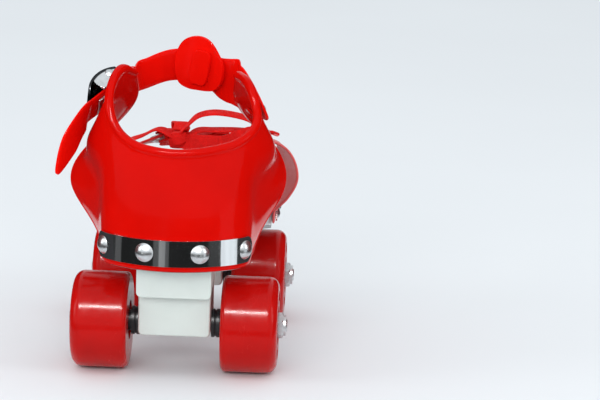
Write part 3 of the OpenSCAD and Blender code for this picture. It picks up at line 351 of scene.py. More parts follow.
# Scales of a grain: as it is, stretched upwards, and stretched from side to side
EVEN, UPWARDS, SIDEWAYS = (1.0, 1.0, 1.0), (1.0, 1.0, 0.05), (0.12, 1.0, 1.0)


class Shader:
    """Node tree of a material or a group, with short calls."""

    def __init__(self, tree):
        self.tree = tree

    def add(self, kind, **values):
        node = self.tree.nodes.new(kind)
        for name, value in values.items():
            setattr(node, name, value)
        return node

    def link(self, a, b):
        self.tree.links.new(a, b)

    def feed(self, socket, value):
        if isinstance(value, bpy.types.NodeSocket):
            self.link(value, socket)
        else:
            socket.default_value = value

    def math(self, operation, a, b=0.0, clamp=False):
        node = self.add("ShaderNodeMath", operation=operation, use_clamp=clamp)
        self.feed(node.inputs[0], a)
        self.feed(node.inputs[1], b)
        return node.outputs[0]

    def noise(self, vector, scale, detail=3.0, roughness=0.55):
        node = self.add("ShaderNodeTexNoise")
        self.feed(node.inputs["Vector"], vector)
        self.feed(node.inputs["Scale"], scale)
        node.inputs["Detail"].default_value = detail
        node.inputs["Roughness"].default_value = roughness
        return node.outputs["Fac"]

    def spread(self, value, low, high, from_low=0.3, from_high=0.7):
        node = self.add("ShaderNodeMapRange")
        self.feed(node.inputs["Value"], value)
        node.inputs["From Min"].default_value = from_low
        node.inputs["From Max"].default_value = from_high
        self.feed(node.inputs["To Min"], low)
        self.feed(node.inputs["To Max"], high)
        return node.outputs["Result"]

    def mix(self, factor, a, b):
        node = self.add("ShaderNodeMix", data_type="RGBA")
        self.feed(node.inputs["Factor"], factor)
        self.feed(node.inputs["A"], a)
        self.feed(node.inputs["B"], b)
        return node.outputs["Result"]

    def object_place(self, scale=EVEN):
        place = self.add("ShaderNodeTexCoord").outputs["Object"]
        if scale == EVEN:
            return place
        node = self.add("ShaderNodeMapping")
        self.link(place, node.inputs["Vector"])
        node.inputs["Scale"].default_value = scale
        return node.outputs["Vector"]

    def parts(self, vector):
        """X, Y and Z of a vector."""
        node = self.add("ShaderNodeSeparateXYZ")
        self.link(vector, node.inputs[0])
        return node.outputs

    def bump(self, height, distance, strength):
        node = self.add("ShaderNodeBump")
        node.inputs["Strength"].default_value = strength
        node.inputs["Distance"].default_value = distance
        self.link(height, node.inputs["Height"])
        return node.outputs["Normal"]

    def use(self, group, **values):
        """Places a group with its values, and gives its outputs."""
        node = self.add("ShaderNodeGroup")
        node.node_tree = group
        for name, value in values.items():
            self.feed(node.inputs[name.replace("_", " ")], value)
        return node.outputs


VECTOR, COLOUR, VALUE = "NodeSocketVector", "NodeSocketColor", "NodeSocketFloat"


def new_group(name, inputs, outputs):
    """Empty shader group whose inputs are named by kind or default value, and the nodes of its two ends."""
    tree = bpy.data.node_groups.new(name, "ShaderNodeTree")
    for text, given in inputs.items():
        plain = isinstance(given, float)
        socket = tree.interface.new_socket(name=text, in_out="INPUT", socket_type=VALUE if plain else given)
        if plain:
            socket.default_value = given
    for text, kind in outputs.items():
        tree.interface.new_socket(name=text, in_out="OUTPUT", socket_type=kind)
    shader = Shader(tree)
    return tree, shader, shader.add("NodeGroupInput").outputs, shader.add("NodeGroupOutput").inputs


def mottle_group():
    """Slow drift of a colour and a value over a moulded or painted surface."""
    tree, s, given, out = new_group(
        "Mottle",
        {"Vector": VECTOR, "Scale": 40.0, "Colour A": COLOUR, "Colour B": COLOUR, "Low": 0.2, "High": 0.3},
        {"Colour": COLOUR, "Value": VALUE},
    )
    slow = s.noise(given["Vector"], given["Scale"])
    quick = s.noise(given["Vector"], s.math("MULTIPLY", given["Scale"], 4.3), detail=4.0)
    s.link(s.mix(s.spread(slow, 0.0, 1.0), given["Colour A"], given["Colour B"]), out["Colour"])
    s.link(s.spread(quick, given["Low"], given["High"]), out["Value"])
    return tree


def skin_group():
    """Height of a moulded skin: fine pebbling over a slow wave."""
    tree, s, given, out = new_group(
        "Moulded skin",
        {"Vector": VECTOR, "Pebble scale": 900.0, "Pebble": 0.3, "Wave scale": 45.0, "Wave": 0.7},
        {"Height": VALUE},
    )
    fine = s.math("MULTIPLY", s.noise(given["Vector"], given["Pebble scale"], 2.0), given["Pebble"])
    slow = s.math("MULTIPLY", s.noise(given["Vector"], given["Wave scale"], 1.0), given["Wave"])
    s.link(s.math("ADD", fine, slow), out["Height"])
    return tree


def scratch_group():
    """Thin random scratches: a mask that is 1 in a scratch."""
    inputs = {"Vector": VECTOR, "Scale": 120.0, "Width": 0.012}
    tree, s, given, out = new_group("Scratches", inputs, {"Mask": VALUE})
    line = s.math("ABSOLUTE", s.math("SUBTRACT", s.noise(given["Vector"], given["Scale"], 1.0), 0.5))
    mask = s.math("SUBTRACT", 1.0, s.math("DIVIDE", line, given["Width"]), clamp=True)
    rare = s.spread(s.noise(given["Vector"], 31.0, 1.0), 0.0, 1.0, 0.52, 0.62)
    s.link(s.math("MULTIPLY", mask, rare), out["Mask"])
    return tree


def weave_group():
    """Plain weave on a band's own lay: height of the threads and shade in the gaps."""
    inputs = {"Vector": VECTOR, "Pitch along": 0.0009, "Pitch across": 0.0008}
    tree, s, given, out = new_group("Lace weave", inputs, {"Height": VALUE, "Gap": VALUE})
    along, across, _ = s.parts(given["Vector"])
    u = s.math("DIVIDE", along, given["Pitch along"])
    v = s.math("DIVIDE", across, given["Pitch across"])
    zigzag = s.math("SUBTRACT", s.math("FRACT", s.math("MULTIPLY", v, 0.25)), 0.5)
    row = s.math("ADD", u, s.math("MULTIPLY", s.math("ABSOLUTE", zigzag), 4.0))
    thread_u = s.math("ABSOLUTE", s.math("SINE", s.math("MULTIPLY", row, math.pi)))
    thread_v = s.math("ABSOLUTE", s.math("SINE", s.math("MULTIPLY", v, math.pi)))
    height = s.math("MULTIPLY", s.math("POWER", thread_u, 0.6), s.math("POWER", thread_v, 0.5))
    s.link(height, out["Height"])
    s.link(s.spread(height, 1.0, 0.0, 0.15, 0.7), out["Gap"])
    return tree


GROUPS = {}
FINISHES = {}
# Toe flaps: between which distances from the middle their vinyl turns to a painted pinkish sheen, the
# outside's colour
FLAP_SHEEN_SPAN = (0.029, 0.037)


def group(name):
    makers = {"mottle": mottle_group, "skin": skin_group, "scratches": scratch_group, "weave": weave_group}
    if name not in GROUPS:
        GROUPS[name] = makers[name]()
    return GROUPS[name]


def principled(name, **values):
    """Material with one Principled shader and its plain values."""
    material = bpy.data.materials.new(name)
    material.use_nodes = True
    tree = material.node_tree
    tree.nodes.clear()
    s = Shader(tree)
    bsdf = s.add("ShaderNodeBsdfPrincipled")
    s.link(bsdf.outputs[0], s.add("ShaderNodeOutputMaterial").inputs["Surface"])
    for socket, value in values.items():
        bsdf.inputs[socket.replace("_", " ")].default_value = value
    return material, s, bsdf.inputs


def shade(colour, factor):
    return (*[min(1.0, c * factor) for c in colour], 1.0)


def mottle(s, place, scale, colour, shades, ends=(0.2, 0.3)):
    """Outputs of a colour that drifts between two shades of it, and a value that drifts between two ends."""
    dark, light = (shade(colour, k) for k in shades)
    low, high = ends
    return s.use(
        group("mottle"), Vector=place, Scale=scale, Colour_A=dark, Colour_B=light, Low=low, High=high
    )


def cover(s, into, colour, roughness, normal=None):
    """Links what changes over a surface to its Principled shader."""
    s.link(colour, into["Base Color"])
    s.link(roughness, into["Roughness"])
    if normal is not None:
        s.link(normal, into["Normal"])


def vinyl_finish(name, colour):
    """Soft, glossy vinyl with a slow wave."""
    m, s, into = principled(name, IOR=1.45, Specular_IOR_Level=0.07, Coat_Weight=0.03, Coat_Roughness=0.04)
    place = s.object_place()
    drift = mottle(s, place, 30.0, colour, shades=(0.93, 1.04), ends=(0.07, 0.12))
    skin = s.use(group("skin"), Vector=place, Pebble=0.16, Wave_scale=38.0, Wave=1.0)
    normal = s.bump(skin["Height"], distance=0.0006, strength=0.3)
    cover(s, into, drift["Colour"], drift["Value"], normal)
    return m


def flap_finish(colours):
    """Matt vinyl with a fine cloth print, painted shade between its threads, and a painted pinkish sheen on
    the outside of the flaps.
    """
    m, s, into = principled(
        "matt_flap_vinyl", IOR=1.45, Specular_IOR_Level=0.15, Sheen_Weight=0.3, Sheen_Roughness=0.4
    )
    place = s.object_place()
    # Painted sheen: the vinyl turns pinkish towards the outsides of the flaps
    painted_sheen_mask = s.spread(s.math("ABSOLUTE", s.parts(place)[0]), 0.0, 1.0, *FLAP_SHEEN_SPAN)
    drift = mottle(s, place, 45.0, colours.flap, shades=(0.9, 1.08), ends=(0.42, 0.58))
    turned = s.add("ShaderNodeMapping")
    s.link(place, turned.inputs["Vector"])
    turned.inputs["Rotation"].default_value = (0.0, math.radians(90), 0.0)
    lay = turned.outputs["Vector"]
    cloth = s.use(group("weave"), Vector=lay, Pitch_along=0.0011, Pitch_across=0.001)
    with_painted_sheen = s.mix(painted_sheen_mask, drift["Colour"], shade(colours.flap_painted_sheen, 1.0))
    # Painted shade in the gaps between the cloth's threads
    low = s.mix(s.math("MULTIPLY", cloth["Gap"], 0.3), with_painted_sheen, shade(colours.flap, 0.55))
    normal = s.bump(cloth["Height"], distance=0.00012, strength=0.6)
    cover(s, into, low, drift["Value"], normal)
    return m


def wheel_finish(colours):
    """Hard plastic with a few pale scuffs."""
    m, s, into = principled(
        "hard_red_wheel", IOR=1.5, Specular_IOR_Level=0.14, Coat_Weight=0.05, Coat_Roughness=0.04
    )
    place = s.object_place()
    drift = mottle(s, place, 55.0, colours.wheel, shades=(0.9, 1.06), ends=(0.13, 0.24))
    long_way = s.object_place((1.0, 0.35, 0.35))
    scuffs = s.use(group("scratches"), Vector=long_way, Scale=260.0, Width=0.01)["Mask"]
    colour = s.mix(s.math("MULTIPLY", scuffs, 0.18), drift["Colour"], shade(colours.wheel, 1.5))
    roughness = s.math("ADD", drift["Value"], s.math("MULTIPLY", scuffs, 0.2))
    skin = s.use(group("skin"), Vector=place, Pebble=0.12, Wave_scale=70.0, Wave=0.5)
    normal = s.bump(skin["Height"], distance=0.0004, strength=0.3)
    cover(s, into, colour, roughness, normal)
    return m


def nylon_finish(colours):
    """Cool white moulding with a fine satin skin."""
    m, s, into = principled("cool_white_nylon", IOR=1.53)
    place = s.object_place()
    drift = mottle(s, place, 60.0, colours.nylon, shades=(0.96, 1.02), ends=(0.36, 0.5))
    skin = s.use(group("skin"), Vector=place, Pebble_scale=2200.0, Pebble=0.5, Wave=0.3)
    normal = s.bump(skin["Height"], distance=0.0002, strength=0.4)
    cover(s, into, drift["Colour"], drift["Value"], normal)
    return m


def dark_finish(name, colour, ends):
    """Black moulded plastic or rubber."""
    m, s, into = principled(name, IOR=1.48)
    place = s.object_place()
    drift = mottle(s, place, 90.0, colour, shades=(0.8, 1.5), ends=ends)
    skin = s.use(group("skin"), Vector=place, Pebble_scale=1800.0, Pebble=0.6, Wave=0.2)
    normal = s.bump(skin["Height"], distance=0.0002, strength=0.5)
    cover(s, into, drift["Colour"], drift["Value"], normal)
    return m


def metal_finish(name, colour, ends, stretch, scratch):
    """Plated metal with a grain stretched one way and a few scratches."""
    m, s, into = principled(name, Metallic=1.0)
    grain = mottle(s, s.object_place(stretch), 420.0, colour, shades=(0.9, 1.05), ends=ends)
    marks = s.use(group("scratches"), Vector=s.object_place(), Scale=170.0, Width=0.008)["Mask"]
    bright = s.mix(s.math("MULTIPLY", marks, scratch), grain["Colour"], shade(colour, 1.2))
    cover(s, into, bright, s.math("ADD", grain["Value"], s.math("MULTIPLY", marks, 0.12)))
    return m


def lever_finish(colours):
    """Bright plating that turns black at the bowed edge of the lever."""
    m, s, into = principled("lever_plating", Metallic=1.0)
    place = s.object_place()
    grain = mottle(s, place, 260.0, colours.chrome, shades=(0.82, 0.98), ends=(0.16, 0.26))
    squares = []
    for way in (BUCKLE_ALONG, BUCKLE_OUT):
        dot = s.add("ShaderNodeVectorMath", operation="DOT_PRODUCT")
        s.link(place, dot.inputs[0])
        dot.inputs[1].default_value = way
        off = s.math("SUBTRACT", dot.outputs["Value"], (BOW_MIDDLE * MM).dot(way))
        squares.append(s.math("MULTIPLY", off, off))
    away = s.math("SQRT", s.math("ADD", *squares))
    black = s.spread(away, 0.0, 1.0, *[r * MM for r in BLACK_FROM])
    cover(s, into, s.mix(black, grain["Colour"], shade(colours.dark_plate, 1.0)), grain["Value"])
    return m


def lace_finish(colours):
    """Woven lace, with painted shade between its threads."""
    m, s, into = principled("woven_red_lace", IOR=1.45, Specular_IOR_Level=0.12)
    lay = s.add("ShaderNodeAttribute", attribute_name="lay").outputs["Vector"]
    weave = s.use(group("weave"), Vector=lay)
    drift = mottle(s, s.object_place(), 110.0, colours.lace, shades=(0.85, 1.12), ends=(0.6, 0.78))
    # Painted shade in the gaps between the lace's threads
    dark = s.mix(s.math("MULTIPLY", weave["Gap"], 0.4), drift["Colour"], shade(colours.lace, 0.4))
    normal = s.bump(weave["Height"], distance=0.0003, strength=0.8)
    cover(s, into, dark, drift["Value"], normal)
    return m


def tip_finish(colours):
    """Glossy film rolled round the ends of the lace."""
    m, s, into = principled("rolled_lace_tip", IOR=1.49, Coat_Weight=0.6, Coat_Roughness=0.08)
    drift = mottle(s, s.object_place(), 300.0, colours.lace, shades=(0.8, 1.15), ends=(0.18, 0.3))
    cover(s, into, drift["Colour"], drift["Value"])
    return m


def finish(name):
    """The skate's material of that name, made on its first use."""
    c = bpy.context.scene.skate_colours
    makers = {
        "vinyl": lambda: vinyl_finish("soft_red_vinyl", c.vinyl),
        # Painted light: the strap's vinyl is the cup's, painted brighter
        "strap": lambda: vinyl_finish("strap_vinyl_painted_brighter", c.strap),
        "flap": lambda: flap_finish(c),
        "wheel": lambda: wheel_finish(c),
        "nylon": lambda: nylon_finish(c),
        "lace": lambda: lace_finish(c),
        "tip": lambda: tip_finish(c),
        "lever": lambda: lever_finish(c),
        "dark_plate": lambda: metal_finish("black_nickel", c.dark_plate, (0.1, 0.2), EVEN, 0.3),
        "chrome": lambda: metal_finish("bright_chrome", c.chrome, (0.04, 0.1), UPWARDS, 0.1),
        "zinc": lambda: metal_finish("satin_zinc", c.zinc, (0.24, 0.36), EVEN, 0.25),
        "steel": lambda: metal_finish(
            "pressed_steel", shade(c.zinc, 0.92)[:3], (0.28, 0.42), SIDEWAYS, 0.3
        ),
        "bearing": lambda: metal_finish(
            "ground_bearing_steel", shade(c.zinc, 0.8)[:3], (0.16, 0.28), EVEN, 0.1
        ),
        "sleeve": lambda: dark_finish("black_sleeve", c.sleeve, (0.3, 0.44)),
        "rubber": lambda: dark_finish("bush_rubber", c.rubber, (0.6, 0.75)),
    }
    if name not in FINISHES:
        FINISHES[name] = makers[name]()
    return FINISHES[name]


def paint(node, name):
    """Gives a frame node one of the skate's finishes."""
    mesh = NODES[node].data
    mesh.materials.clear()
    mesh.materials.append(finish(name))


def dress(name, bm, look, body, slot, *nodes, levels=0, even=False, smooth_angle=SMOOTH):
    """Piece that rides on a body, takes one of the skate's finishes and hides the nodes it stands for."""
    obj = put_in_scene(name, bm, finish(look), smooth_angle)
    if levels:
        skin = obj.modifiers.new("Smooth skin", "SUBSURF")
        skin.levels = skin.render_levels = levels
    if even:
        obj.modifiers.new("Even shading", "WEIGHTED_NORMAL").keep_sharp = True
    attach(obj, body)
    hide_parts(*nodes)
    return obj


# Operators

# Camera: its place, and its yaw, pitch and roll in degrees
CAMERA_PLACE, CAMERA_TURNS = (0.0965, -1.2953, 0.337), (1.3, 13.23, 1.89)
# Lights: the place, aim and size of each
KEY_LIGHT = ((-0.2, -1.7, 0.85), (0.0, 0.04, 0.05), (1.4, 0.5))
FILL_LIGHTS = [((x, -0.5, 0.7), (0.0, 0.04, 0.02), (0.5, 0.9)) for x in (-1.5, 1.5)]
SHINE_STRIP = ((-0.15, -1.2, 1.1), (0.0, 0.04, 0.02), (1.0, 0.14))
SKY_COLOUR, BACKDROP_SHADE = (0.96, 0.98, 1.0, 1.0), 1.02
# Floor: its radius, and how far it lies below the wheels
FLOOR_RADIUS, FLOOR_GAP = 9.0, 0.0001
# Cards in front of the skate: their reach and height, and from and to which degree each is how grey
CARD_REACH, CARD_HEIGHT, CARD_STEPS = (0.16, 1.6), 0.0004, 12
CARDS = [
    (-84, -70, 0.03), (-70, -62, 0.09), (-62, -24, 0.015), (-24, -18, 0.08), (-18, -11, 0.26),
    (-11, -7, 0.09), (-7, 36, 0.015), (36, 50, 0.05), (70, 86, 0.03),
]
# Flags at the sides: their X and their two ends' Y; a mat reaches from each to a share of its X
SIDE_FLAGS = [("left", -0.42, -0.1, 1.9), ("right", 0.42, -0.1, 1.9)]
FLAG_HEIGHTS, FLAG_COLOUR = (0.001, 0.55), (0.12, 0.004, 0.004)
MAT_FROM, MAT_COLOUR = 0.4, (0.04, 0.04, 0.042)


class SKATE_OT_stage(bpy.types.Operator):
    """Pale floor, soft lights and the camera"""

    bl_idname = "skate.stage"
    bl_label = "Stage"

    def execute(self, context):
        stage = context.scene.skate_stage
        context.scene.view_settings.view_transform = "Standard"
        self.camera(context, stage)
        self.floor(stage)
        self.dark_cards()
        self.side_flags()
        self.lights(stage)
        self.world(context, stage)
        return {"FINISHED"}

    def camera(self, context, stage):
        yaw, pitch, roll = (math.radians(a) for a in CAMERA_TURNS)
        forward = Vector(
            (-math.sin(yaw) * math.cos(pitch), math.cos(yaw) * math.cos(pitch), -math.sin(pitch))
        )
        level = Vector((math.cos(yaw), math.sin(yaw), 0.0))
        over = level.cross(forward)
        right = level * math.cos(roll) + over * math.sin(roll)
        up = over * math.cos(roll) - level * math.sin(roll)
        data = bpy.data.cameras.new("Camera")
        data.sensor_fit = "HORIZONTAL"
        data.sensor_width = 36.0
        data.lens = stage.lens
        data.clip_start, data.clip_end = 0.05, 30.0
        camera = bpy.data.objects.new("Camera", data)
        context.scene.collection.objects.link(camera)
        turn = Matrix((right, up, -forward)).transposed().to_4x4()
        camera.matrix_world = Matrix.Translation(CAMERA_PLACE) @ turn
        context.scene.camera = camera

    def paper(self, name, scale, colour, shades):
        """Matt paper or paint of the stage."""
        m, s, into = principled(name, Roughness=0.9, Specular_IOR_Level=0.0)
        s.link(mottle(s, s.object_place(), scale, colour, shades)["Colour"], into["Base Color"])
        return m

    def floor(self, stage):
        bm = bmesh.new()
        bmesh.ops.create_circle(bm, cap_ends=True, radius=FLOOR_RADIUS, segments=96)
        bmesh.ops.translate(bm, verts=bm.verts, vec=(0.0, 0.0, CAD_BOX[0].z - FLOOR_GAP))
        paper = self.paper("pale_paper", 2.0, stage.floor, (0.985, 1.01))
        put_in_scene("stage_floor", bm, paper)

    def dark_cards(self):
        """Grey cards on the floor in front, for the metal and vinyl to mirror; nothing else sees them."""
        for start, end, grey in CARDS:
            bm = bmesh.new()
            rod = [bm.verts.new((0.0, -r, CAD_BOX[0].z + CARD_HEIGHT)) for r in CARD_REACH]
            edge = bm.edges.new(rod)
            bmesh.ops.rotate(bm, verts=rod, matrix=Matrix.Rotation(math.radians(start), 3, "Z"))
            turn = math.radians(end - start)
            bmesh.ops.spin(bm, geom=[*rod, edge], axis=(0.0, 0.0, 1.0), angle=turn, steps=CARD_STEPS)
            self.only_mirrored(f"stage_card_{start}", bm, (grey, grey, grey))

    def side_flags(self):
        """Dark flags on both sides, with a mat before each, for the flares of the cup to mirror."""
        for name, x, y_low, y_high in SIDE_FLAGS:
            bm = bmesh.new()
            rod = [bm.verts.new((x, y_low, CAD_BOX[0].z + h)) for h in FLAG_HEIGHTS]
            edge = bm.edges.new(rod)
            made = bmesh.ops.extrude_edge_only(bm, edges=[edge])
            bmesh.ops.translate(bm, verts=new_verts(made), vec=(0.0, y_high - y_low, 0.0))
            self.only_mirrored(f"stage_flag_{name}", bm, FLAG_COLOUR)
            mat = bmesh.new()
            corners = ((x, y_low), (x, y_high), (MAT_FROM * x, y_high), (MAT_FROM * x, y_low))
            mat.faces.new([mat.verts.new((a, b, CAD_BOX[0].z + FLAG_HEIGHTS[0])) for a, b in corners])
            self.only_mirrored(f"stage_mat_{name}", mat, MAT_COLOUR)

    def only_mirrored(self, name, bm, colour):
        """Stage piece that shows in shiny surfaces and nowhere else."""
        card = put_in_scene(name, bm, self.paper(name + "_paint", 6.0, colour, (0.9, 1.1)))
        card.visible_camera = card.visible_diffuse = card.visible_shadow = False
        card.visible_transmission = False

    def lights(self, stage):
        key = self.softbox("key_light", stage.key_power, *KEY_LIGHT)
        key.visible_glossy = False
        for light in FILL_LIGHTS:
            self.softbox("fill_light", stage.fill_power, *light)
        shine = self.softbox("shine_strip", stage.shine_power, *SHINE_STRIP)
        shine.visible_diffuse = shine.visible_transmission = False

    def softbox(self, name, power, place, aim, size):
        data = bpy.data.lights.new(name, "AREA")
        data.shape = "RECTANGLE"
        data.size, data.size_y = size
        data.energy = power
        light = bpy.data.objects.new(name, data)
        bpy.context.scene.collection.objects.link(light)
        way = Vector(aim) - Vector(place)
        light.matrix_world = Matrix.Translation(place) @ way.to_track_quat("-Z", "Y").to_matrix().to_4x4()
        return light

    def world(self, context, stage):
        world = bpy.data.worlds.new("Studio")
        world.use_nodes = True
        world.node_tree.nodes.clear()
        s = Shader(world.node_tree)
        sky = s.add("ShaderNodeBackground")
        sky.inputs["Color"].default_value = SKY_COLOUR
        sky.inputs["Strength"].default_value = stage.world_strength
        backdrop = s.add("ShaderNodeBackground")
        backdrop.inputs["Color"].default_value = shade(stage.floor, BACKDROP_SHADE)
        backdrop.inputs["Strength"].default_value = 1.0
        path = s.add("ShaderNodeLightPath").outputs
        clear = s.math("MAXIMUM", path["Is Glossy Ray"], path["Is Transmission Ray"])
        seen = s.math("MAXIMUM", path["Is Camera Ray"], clear)
        both = s.add("ShaderNodeMixShader")
        s.link(seen, both.inputs[0])
        s.link(sky.outputs[0], both.inputs[1])
        s.link(backdrop.outputs[0], both.inputs[2])
        s.link(both.outputs[0], s.add("ShaderNodeOutputWorld").inputs["Surface"])
        context.scene.world = world


# Routes of the lace in millimetres, as points and the way the flat of the lace faces there. Those of the
# bow start from the knot, and each free strand is a loop and a tail of the length given
KNOT = Vector((-6.5, 79.0, 47.0))
LOOP_RIGHT = [
    ((0.5, 0, 4.2), (-0.8, 0, 0.5)), ((5, 1, 9), (-0.9, -0.1, 0.4)), ((11, 2, 14.5), (-0.4, -0.15, 1)),
    ((20, 3, 16.5), (0, -0.15, 1)), ((31, 4, 15.5), (0.2, -0.15, 1)), ((40, 5, 13), (0.6, -0.1, 0.8)),
    ((43.5, 5, 9.5), (1, 0, 0)), ((40, 4, 7), (0.4, 0, -0.9)), ((31, 3, 6.6), (0, 0.1, -1)),
    ((20, 2, 6.4), (0, 0.1, -1)), ((11, 1, 6), (0, 0.1, -1)), ((3.5, 0, 1.6), (-0.2, 0, -1)),
]
LOOP_LEFT = [
    ((1, 3, 5.2), (0, -0.3, 0.9)), ((1, 11, 7.6), (0, -0.1, 1)), ((0, 21, 6.2), (0, 0.1, 1)),
    ((-1.5, 31, 4.2), (0, 0.3, 0.9)), ((-3, 38, 2.4), (0, 0.7, 0.7)), ((-3.2, 41.5, -0.2), (0, 1, -0.1)),
    ((-2.5, 38, -2.6), (0, 0.3, -0.9)), ((-0.8, 29, 0.2), (0, -0.1, -1)), ((0.5, 20, 3), (0, -0.1, -1)),
    ((1, 11, 5.2), (0, 0, -1)), ((1, 3, 3.2), (0, 0.2, -1)),
]
TAIL_RIGHT = [
    ((3, -2, 0), (0, -0.9, 0.3)), ((9, -7, 0.5), (0, -0.95, 0.3)), ((18, -11, 1), (0, -0.95, 0.3)),
    ((28, -13, 2), (0, -0.95, 0.3)), ((37, -12, 6), (-0.2, -0.8, 0.6)), ((44, -9, 9), (0, -0.4, 0.9)),
    ((51, -3, 8), (0.1, 0.1, 1)), ((54, 5, 5.5), (0.3, 0.1, 1)),
]
TAIL_LEFT = [
    ((-2, 0, 2), (-0.3, 0, 0.9)), ((-12, 3, 5.5), (-0.2, 0, 1)), ((-22, 6, 0.5), (-0.4, 0, 0.9)),
    ((-31, 10, -3.5), (-0.45, 0, 0.9)), ((-39, 14, -8), (-0.55, 0, 0.85)),
]
RIGHT_LOOP_LENGTH, LEFT_LOOP_LENGTH = 0.142, 0.149
RUNGS = [
    [((21.94, 101.39, 47.08), (-0.17, 0.26, 0.95)), ((12.74, 101.31, 45.96), (-0.16, 0.29, 0.94)),
     ((0.57, 94.05, 46.79), (0, 0, 1)), ((-11.6, 86.79, 45.41), (-0.4, 0.27, 0.88)),
     ((-18.63, 85.13, 44.09), (-0.39, 0.23, 0.89))],
    [((-20.38, 101.35, 45.13), (-0.26, 0.24, 0.93)), ((-13.37, 101.31, 46.26), (-0.26, 0.28, 0.92)),
     ((0.03, 94.02, 44.44), (0, 0, 1)), ((13.44, 86.73, 44.82), (-0.09, 0.29, 0.95)),
     ((22.68, 85.04, 46.02), (-0.11, 0.26, 0.96))],
    [((21.78, 116.33, 42.95), (-0.23, 0.26, 0.94)), ((12.56, 114.33, 41.95), (-0.23, 0.28, 0.93)),
     ((0.29, 107.05, 42.71), (0, 0, 1)), ((-11.99, 99.77, 41.27), (-0.26, 0.28, 0.92)),
     ((-18.97, 100.03, 40.09), (-0.26, 0.24, 0.93))],
    [((-20, 116.3, 41.32), (-0.12, 0.25, 0.96)), ((-12.94, 114.35, 42.32), (-0.1, 0.29, 0.95)),
     ((0.34, 107.05, 40.49), (0, 0, 1)), ((13.63, 99.76, 40.86), (-0.16, 0.29, 0.94)),
     ((22.85, 99.99, 41.94), (-0.17, 0.26, 0.95))],
    [((-20.72, 86.38, 48.9), (-0.39, 0.23, 0.89)), ((-13.76, 88.24, 50.74), (0, 0, 1)),
     ((-11.13, 83.62, 48.62), (0, 0, 1)), ((-8.5, 79, 46.5), (0, 0, 1))],
    [((22.1, 86.46, 51.2), (-0.11, 0.26, 0.96)), ((12.93, 88.3, 50.56), (0, 0, 1)),
     ((4.22, 83.65, 48.53), (0, 0, 1)), ((-4.5, 79, 46.5), (0, 0, 1))],
    [((-19.35, 114.96, 36.13), (-0.12, 0.25, 0.96)), ((-12.42, 112.77, 37.18), (-0.1, 0.29, 0.95)),
     ((13.81, 112.79, 36.92), (-0.23, 0.28, 0.93)), ((23.01, 114.93, 37.88), (-0.23, 0.26, 0.94))],
]
# Turns of the knot, each with its share of the lace's width, and how much thicker they are
KNOT_TURNS = [
    (0.85, [((0.3 * math.cos(a), 4.3 * math.sin(a), 4.3 * math.cos(a)), (0, math.sin(a), math.cos(a)))
            for a in [math.radians(20 + 30 * k) for k in range(12)]]),
    (0.62, [((-5, -1.5, -2), (-0.5, -0.8, 0.4)), ((-3, -3.8, 0), (-0.2, -1, 0.2)),
            ((0.5, -4.4, 1), (0, -1, 0.3)), ((3.5, -3.2, 2.2), (0.3, -0.8, 0.5)),
            ((5, -0.5, 3), (0.6, -0.3, 0.8))]),
    (0.6, [((-5, 1, 2.4), (-0.5, 0, 0.9)), ((-2.5, 0, 4), (-0.2, 0, 1)), ((1, -0.6, 4.2), (0.1, 0, 1)),
           ((4, -1, 2.4), (0.6, 0, 0.8)), ((5, -1.5, 0), (1, 0, 0))]),
]
KNOT_THICKER = 1.15
# Steps of a sweep from one point to the next, and the share of its width that the lace starts with at a
# tail's tip or a row's ends, with what each step adds
LACE_STEPS, KNOT_STEPS = 8, 6
TAIL_START, TAIL_GROWTH = 0.3, 0.12
ROW_START, ROW_GROWTH = 0.45, 0.14
# Rolled tips: shares of their length, with their girth there
TIP_GIRTHS = [
    (-0.1, 0.85), (0.0, 0.97), (0.04, 1.0), (0.3, 1.0), (0.6, 1.0), (0.9, 1.0), (0.97, 0.9), (1.0, 0.6),
]


class SKATE_OT_lace_bow(bpy.types.Operator):
    """Free loops and tails of the bow, with their rolled tips"""

    bl_idname = "skate.lace_bow"
    bl_label = "Lace bow"

    def execute(self, context):
        sizes = context.scene.skate_sizes
        right, left = LOOP_RIGHT + TAIL_LEFT, LOOP_LEFT + TAIL_RIGHT
        self.strand(sizes, "lace_right_loop", right, RIGHT_LOOP_LENGTH, "lace_loop_right", "lace_tail_left")
        self.strand(sizes, "lace_left_loop", left, LEFT_LOOP_LENGTH, "lace_loop_left", "lace_tail_right")
        return {"FINISHED"}

    def strand(self, sizes, name, points, length, *nodes):
        route = metres(points, KNOT)
        steps = LACE_STEPS * (len(route) - 1)
        spots = band_frames(route, steps)
        half_w, half_t = sizes.lace_width / 2, sizes.lace_thickness / 2
        near_end = [min(1.0, TAIL_START + TAIL_GROWTH * (steps - i)) for i in range(steps + 1)]
        bm = bmesh.new()
        path = sweep(bm, spots, [half_w * k for k in near_end], [half_t] * (steps + 1))
        lace = dress(name, bm, "lace", "toe_frame", "red_lace", *nodes, levels=1)
        tip = self.tip(name + "_tip", spots[-1], sizes)

    def tip(self, name, spot, sizes):
        p, across, out, along = spot
        spots = [(p + along * sizes.tip_length * t, across, out, along) for t, _ in TIP_GIRTHS]
        radii = [sizes.tip_radius * girth for _, girth in TIP_GIRTHS]
        bm = bmesh.new()
        sweep(bm, spots, radii, radii, sides=16, squareness=1.0)
        return dress(name, bm, "tip", "toe_frame", "lace_tip", "lace_tips", smooth_angle=50.0)


